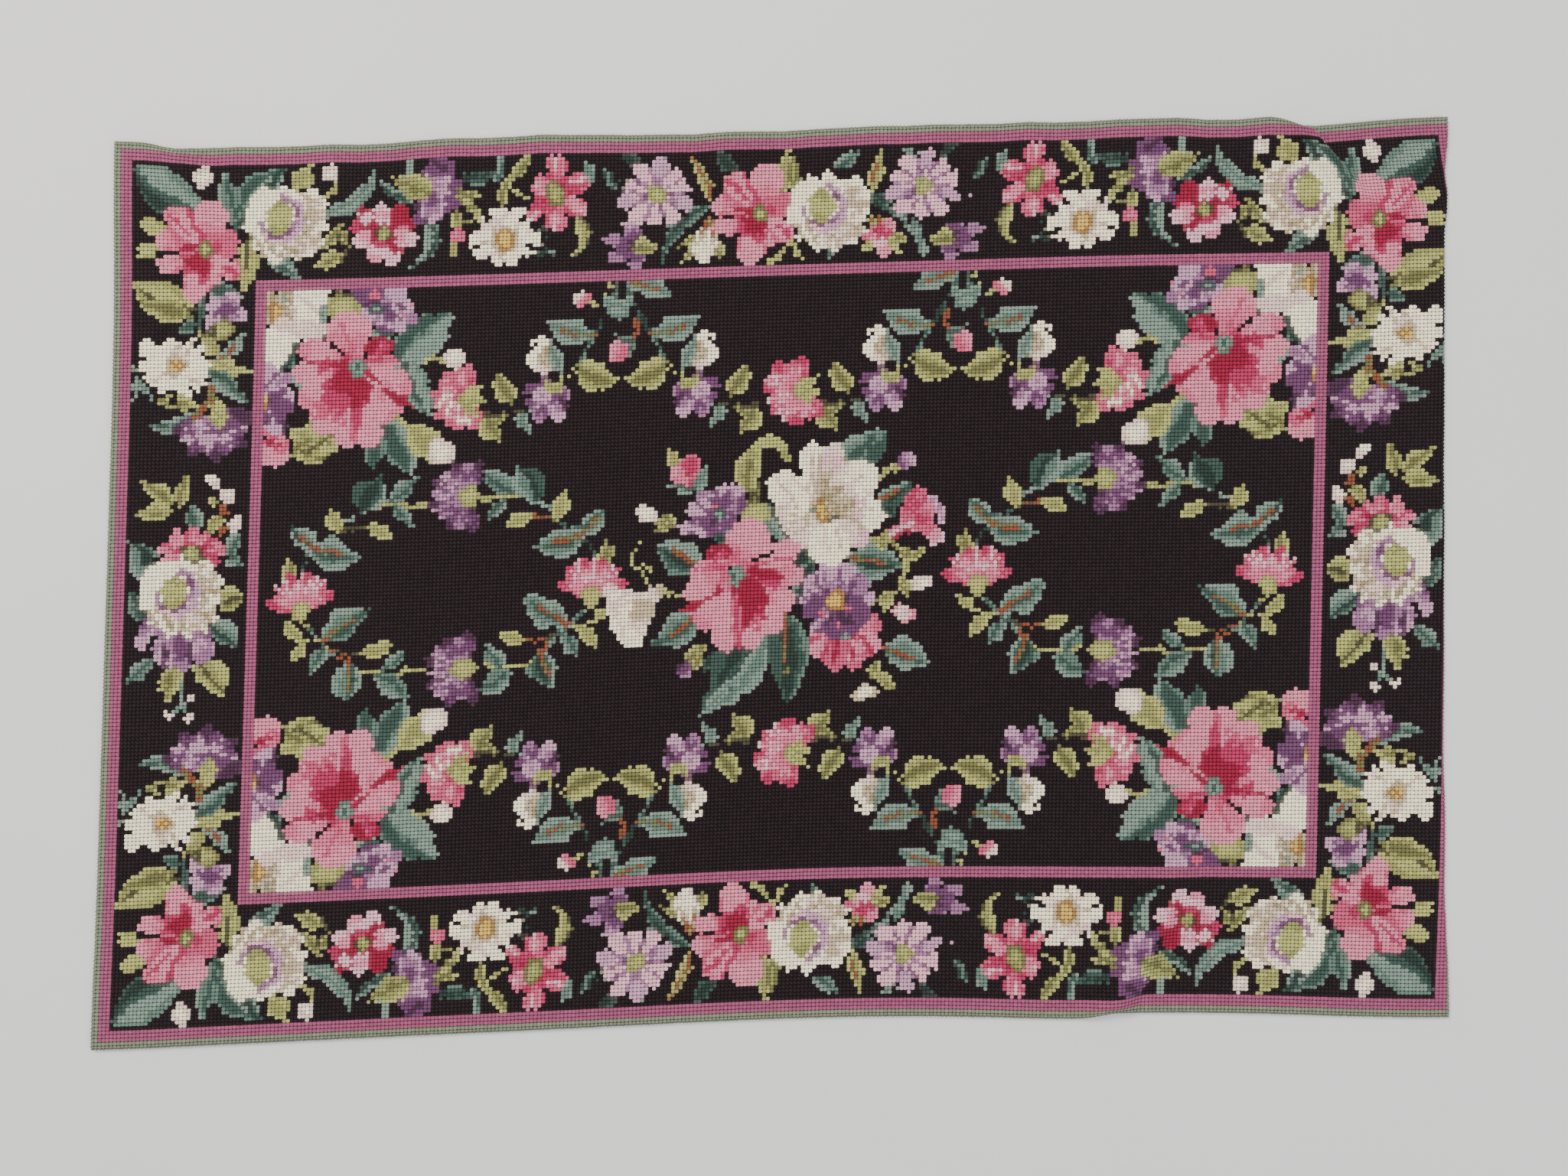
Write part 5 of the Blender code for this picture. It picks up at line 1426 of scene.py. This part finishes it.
def work_back(colours, material):
    """The back of the work, where the yarns run from stitch to stitch. It faces down."""
    margin = int(BACK_MARGIN / STITCH_ACROSS)
    mesh = flat_grid(COLUMNS - 2 * margin, ROWS - 2 * margin, (margin, margin),
            (COLUMNS - margin, ROWS - margin))
    bmesh.ops.reverse_faces(mesh, faces=mesh.faces[:])
    piece = piece_from(mesh, "back_of_work", material)
    middles = middles_of(piece.data)
    middles[:, 1] = ROWS - middles[:, 1]
    # The back's colours are painted a tenth darker than the front's, as shade beneath the panel.
    colour_faces(piece.data, 0.9 * colours, middles)
    points = points_of(piece.data)
    up = (points[:, 1] - ROWS / 2) * STITCH_DOWN
    left, right = LEFT_EDGE + BACK_MARGIN - STITCH_ACROSS, right_edge(up) - BACK_MARGIN + STITCH_ACROSS
    across = left + (points[:, 0] - margin) / (COLUMNS - 2 * margin) * (right - left)
    place_points(piece.data, lay(across, up, BACK_HEIGHT + hem_lift(across, up)))
    return piece


def cut_canvas(material):
    """The whole canvas under the stitches, with its bare margins turned beneath as a hem."""
    turned = HEM_WIDTH + (math.pi - 2) * ROLL_RADIUS
    mesh = flat_grid(CANVAS_CELLS_ACROSS, CANVAS_CELLS_UP, (-1.0, -1.0), (1.0, 1.0))
    piece = piece_from(mesh, "canvas", material)
    points = points_of(piece.data)
    share = points[:, :2]
    share = share * (1 + EDGE_CROWDING * (1 - share**2))
    up = share[:, 1] * (HALF_HEIGHT + turned)
    right = right_edge(np.clip(up, -HALF_HEIGHT, HALF_HEIGHT)) + turned
    left = LEFT_EDGE - turned
    across = left + (share[:, 0] + 1) / 2 * (right - left)
    place_points(piece.data, lay_cloth(across, up, CANVAS_DEPTH + 0 * across, CANVAS_HEM_HEIGHT))
    flat = (float(np.mean(right)) - left, 2 * (HALF_HEIGHT + turned))
    return piece, flat


class Wire:
    """The output of a shader node, with which sums are written as sums."""

    def __init__(self, paint, socket):
        self.paint = paint
        self.socket = socket

    def maths(self, operation, *others):
        return self.paint.node("ShaderNodeMath", {"operation": operation}, dict(enumerate((self, *others))))

    def __add__(self, other):
        return self.maths("ADD", other)

    __radd__ = __add__

    def __sub__(self, other):
        return self.maths("SUBTRACT", other)

    def __rsub__(self, other):
        return self.paint.node("ShaderNodeMath", {"operation": "SUBTRACT"}, {0: other, 1: self})

    def __mul__(self, other):
        return self.maths("MULTIPLY", other)

    __rmul__ = __mul__

    def __truediv__(self, other):
        return self.maths("DIVIDE", other)

    def __abs__(self):
        return self.maths("ABSOLUTE")

    def __pow__(self, power):
        return self.maths("POWER", power)

    def larger(self, other):
        return self.maths("MAXIMUM", other)

    def part(self):
        """What is left of it past the last whole number."""
        return self.maths("FRACT")

    def wave(self):
        return self.maths("SINE")


class Paint:
    """One material's nodes."""

    def __init__(self, name, constants):
        self.material = bpy.data.materials.new(name)
        self.material.use_nodes = True
        self.tree = self.material.node_tree
        self.shader = self.tree.nodes["Principled BSDF"]
        for socket, value in constants.items():
            self.shader.inputs[socket].default_value = value

    def node(self, kind, settings=None, sockets=None, out=0):
        """Adds a node with its settings and the values or wires of its sockets, and gives one output."""
        node = self.tree.nodes.new(kind)
        for setting, value in (settings or {}).items():
            setattr(node, setting, value)
        for socket, value in (sockets or {}).items():
            self.feed(node.inputs[socket], value)
        return Wire(self, node.outputs[out])

    def feed(self, socket, value):
        if isinstance(value, Wire):
            self.tree.links.new(value.socket, socket)
        else:
            socket.default_value = value

    def finish(self, wires):
        for socket, wire in wires.items():
            self.feed(self.shader.inputs[socket], wire)
        return self.material

    def cells(self, columns, rows):
        """The place within each cell of the piece's own map, from -0.5 to 0.5 across and up."""
        flat = self.node("ShaderNodeUVMap", {"uv_map": "OFBake"})
        grid = self.node("ShaderNodeVectorMath", {"operation": "MULTIPLY"}, {0: flat, 1: (columns, rows, 1)})
        across = self.node("ShaderNodeSeparateXYZ", {}, {0: grid}, out=0)
        up = self.node("ShaderNodeSeparateXYZ", {}, {0: grid}, out=1)
        return across.part() - 0.5, up.part() - 0.5

    def noise(self, scale, detail=2.0, rough=0.6):
        place = self.node("ShaderNodeTexCoord", out=3)
        return self.node("ShaderNodeTexNoise", {}, {"Vector": place, "Scale": scale, "Detail": detail,
                "Roughness": rough})


def strand(along, across, half_width, half_length):
    """The rounded top of one thread, 1 on its crest and 0 beside it and past its ends."""
    body = (1 - (across / half_width) ** 2).larger(0.0) ** 0.5
    ends = (1 - (along / half_length) ** 4).larger(0.0)
    return body * ends


def wool_material(name, columns, rows, slant):
    """Cross stitches in wool, a top thread over an under thread, with painted shade in holes and grooves and
    painted light on crowns.
    """
    paint = Paint(name, WOOL_SURFACE)
    across, up = paint.cells(columns, rows)
    along_top = (across - slant * up) * 0.7071
    across_top = (across + slant * up) * 0.7071
    top = strand(along_top, across_top, 0.34, 0.74)
    under = strand(across_top, along_top, 0.30, 0.70) * 0.62
    lump = top.larger(under)
    hole = (1 - ((0.5 - abs(across)) ** 2 + (0.5 - abs(up)) ** 2) * 13).larger(0.0)
    row_groove = ((abs(up) - 0.34) * 6.2).larger(0.0)
    column_groove = ((abs(across) - 0.40) * 10).larger(0.0)
    ply = (along_top * 44 + across_top * 16).wave() * 0.5 + 0.5
    fibre = paint.noise(2600.0, 3.0, 0.7)
    # Painted light: the crowns and ply ridges of the threads are painted lighter as highlight, and the pin
    # holes and the grooves between rows and columns darker as shade. The fibre noise is the yarn's own uneven
    # tone.
    shade = 0.88 + 0.20 * lump + 0.10 * ply * lump + 0.36 * (fibre - 0.5)
    shade = shade * (1 - 0.85 * hole) * (1 - 0.60 * row_groove) * (1 - 0.42 * column_groove)
    yarn = paint.node("ShaderNodeAttribute", {"attribute_name": "yarn"})
    # The yarn colour times the painted shade and highlight.
    yarn_with_painted_shading = paint.node("ShaderNodeVectorMath", {"operation": "SCALE"}, {0: yarn, "Scale": shade})
    # Painted sheen: a pale light added to the base colour on the thread crowns, strongest at their tops.
    painted_sheen = paint.node("ShaderNodeVectorMath", {"operation": "SCALE"},
            {0: PAINTED_SHEEN_COLOUR, "Scale": lump**3 * (0.4 + 1.2 * fibre)})
    colour = paint.node("ShaderNodeVectorMath", {"operation": "ADD"}, {0: yarn_with_painted_shading, 1: painted_sheen})
    height = 0.75 * lump + 0.10 * ply * top + 0.25 * fibre - 0.5 * hole
    bump = paint.node("ShaderNodeBump", {}, {"Strength": 0.55, "Distance": 0.0007, "Height": height})
    return paint.finish({"Base Color": colour, "Normal": bump})


def canvas_material():
    """Bare double canvas: stiff off-white cotton threads over and under each other, with painted shade in the
    open holes and painted highlight on the thread crowns.
    """
    paint = Paint("bare_canvas", {"Roughness": 0.85, "Specular IOR Level": 0.25})
    across, up = paint.cells(CANVAS_THREADS_ACROSS, CANVAS_THREADS_UP)
    warp = strand(up, across, 0.30, 0.9)
    weft = strand(across, up, 0.30, 0.9)
    threads = warp.larger(weft)
    fibre = paint.noise(1800.0)
    # Painted light: the canvas colour is darkest in the holes between threads, as shade, and lightest on the
    # thread crowns. The fibre noise is the cotton's own uneven tone.
    shade = 0.35 + 0.55 * threads + 0.2 * fibre
    size = paint.node("ShaderNodeRGB")
    size.socket.default_value = CANVAS_COLOUR
    colour = paint.node("ShaderNodeVectorMath", {"operation": "SCALE"}, {0: size, "Scale": shade})
    bump = paint.node("ShaderNodeBump", {}, {"Strength": 0.5, "Distance": 0.0005,
            "Height": threads + 0.2 * fibre})
    return paint.finish({"Base Color": colour, "Normal": bump})


def floor_material():
    paint = Paint("studio_floor", {"Roughness": 0.8, "Specular IOR Level": 0.2})
    grain = paint.noise(6.0)
    colour = paint.node("ShaderNodeMix", {"data_type": "RGBA"},
            {"Factor": grain, 6: FLOOR_LIGHT, 7: FLOOR_DARK}, out=2)
    return paint.finish({"Base Color": colour})


def set_stage():
    """A pale plain floor, a soft sky and two soft lamps."""
    mesh = bmesh.new()
    bmesh.ops.create_grid(mesh, x_segments=1, y_segments=1, size=FLOOR_SIZE)
    data = bpy.data.meshes.new("floor")
    mesh.to_mesh(data)
    mesh.free()
    data.materials.append(floor_material())
    floor = bpy.data.objects.new("floor", data)
    bpy.context.scene.collection.objects.link(floor)

    world = bpy.data.worlds.new("studio")
    world.use_nodes = True
    world.node_tree.nodes["Background"].inputs["Color"].default_value = SKY_COLOUR
    world.node_tree.nodes["Background"].inputs["Strength"].default_value = SKY_STRENGTH
    bpy.context.scene.world = world
    for lamp in named(LAMP_FIELDS, LAMPS):
        light = bpy.data.lights.new(lamp["name"], "AREA")
        light.energy = lamp["watts"]
        light.shape = "DISK"
        light.size = lamp["size"]
        light.color = lamp["colour"]
        thing = bpy.data.objects.new(lamp["name"], light)
        thing.location = lamp["place"]
        thing.rotation_mode = "QUATERNION"
        thing.rotation_quaternion = (-Vector(lamp["place"])).to_track_quat("-Z", "Y")
        bpy.context.scene.collection.objects.link(thing)


def set_camera():
    """The photograph's camera, looking almost straight down."""
    ahead = Vector((0.0, math.sin(CAMERA_TILT), -math.cos(CAMERA_TILT)))
    below = Vector((0.0, -math.cos(CAMERA_TILT), -math.sin(CAMERA_TILT)))
    side = Vector((1.0, 0.0, 0.0))
    right = math.cos(CAMERA_ROLL) * side + math.sin(CAMERA_ROLL) * below
    down = -math.sin(CAMERA_ROLL) * side + math.cos(CAMERA_ROLL) * below
    target = Vector((CAMERA_TARGET[0] - BOX_MIDDLE[0], CAMERA_TARGET[1] - BOX_MIDDLE[1], CLOTH_THICKNESS))
    data = bpy.data.cameras.new("camera")
    data.sensor_fit = "HORIZONTAL"
    data.angle = VIEW_ANGLE
    data.clip_start = 0.01
    camera = bpy.data.objects.new("camera", data)
    turned = Matrix((right, -down, -ahead)).transposed().to_4x4()
    camera.matrix_world = Matrix.Translation(target - ahead * CAMERA_DISTANCE) @ turned
    bpy.context.scene.collection.objects.link(camera)
    bpy.context.scene.camera = camera


def main():
    set_camera()
    set_stage()
    colours = blended_colours(draw_chart())
    front = wool_material("worked_wool", COLUMNS // 2, ROWS // 2, 1)
    quarters = []
    for name, first_column, first_row in QUARTERS:
        quarters.append(work_quarter(name, colours, first_column, first_row, front))
    margin = int(BACK_MARGIN / STITCH_ACROSS)
    back = work_back(colours, wool_material("back_of_wool", COLUMNS - 2 * margin, ROWS - 2 * margin, -1))
    canvas, flat = cut_canvas(canvas_material())
    for piece in (*quarters, back, canvas):
        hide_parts("needlepoint_panel")


main()
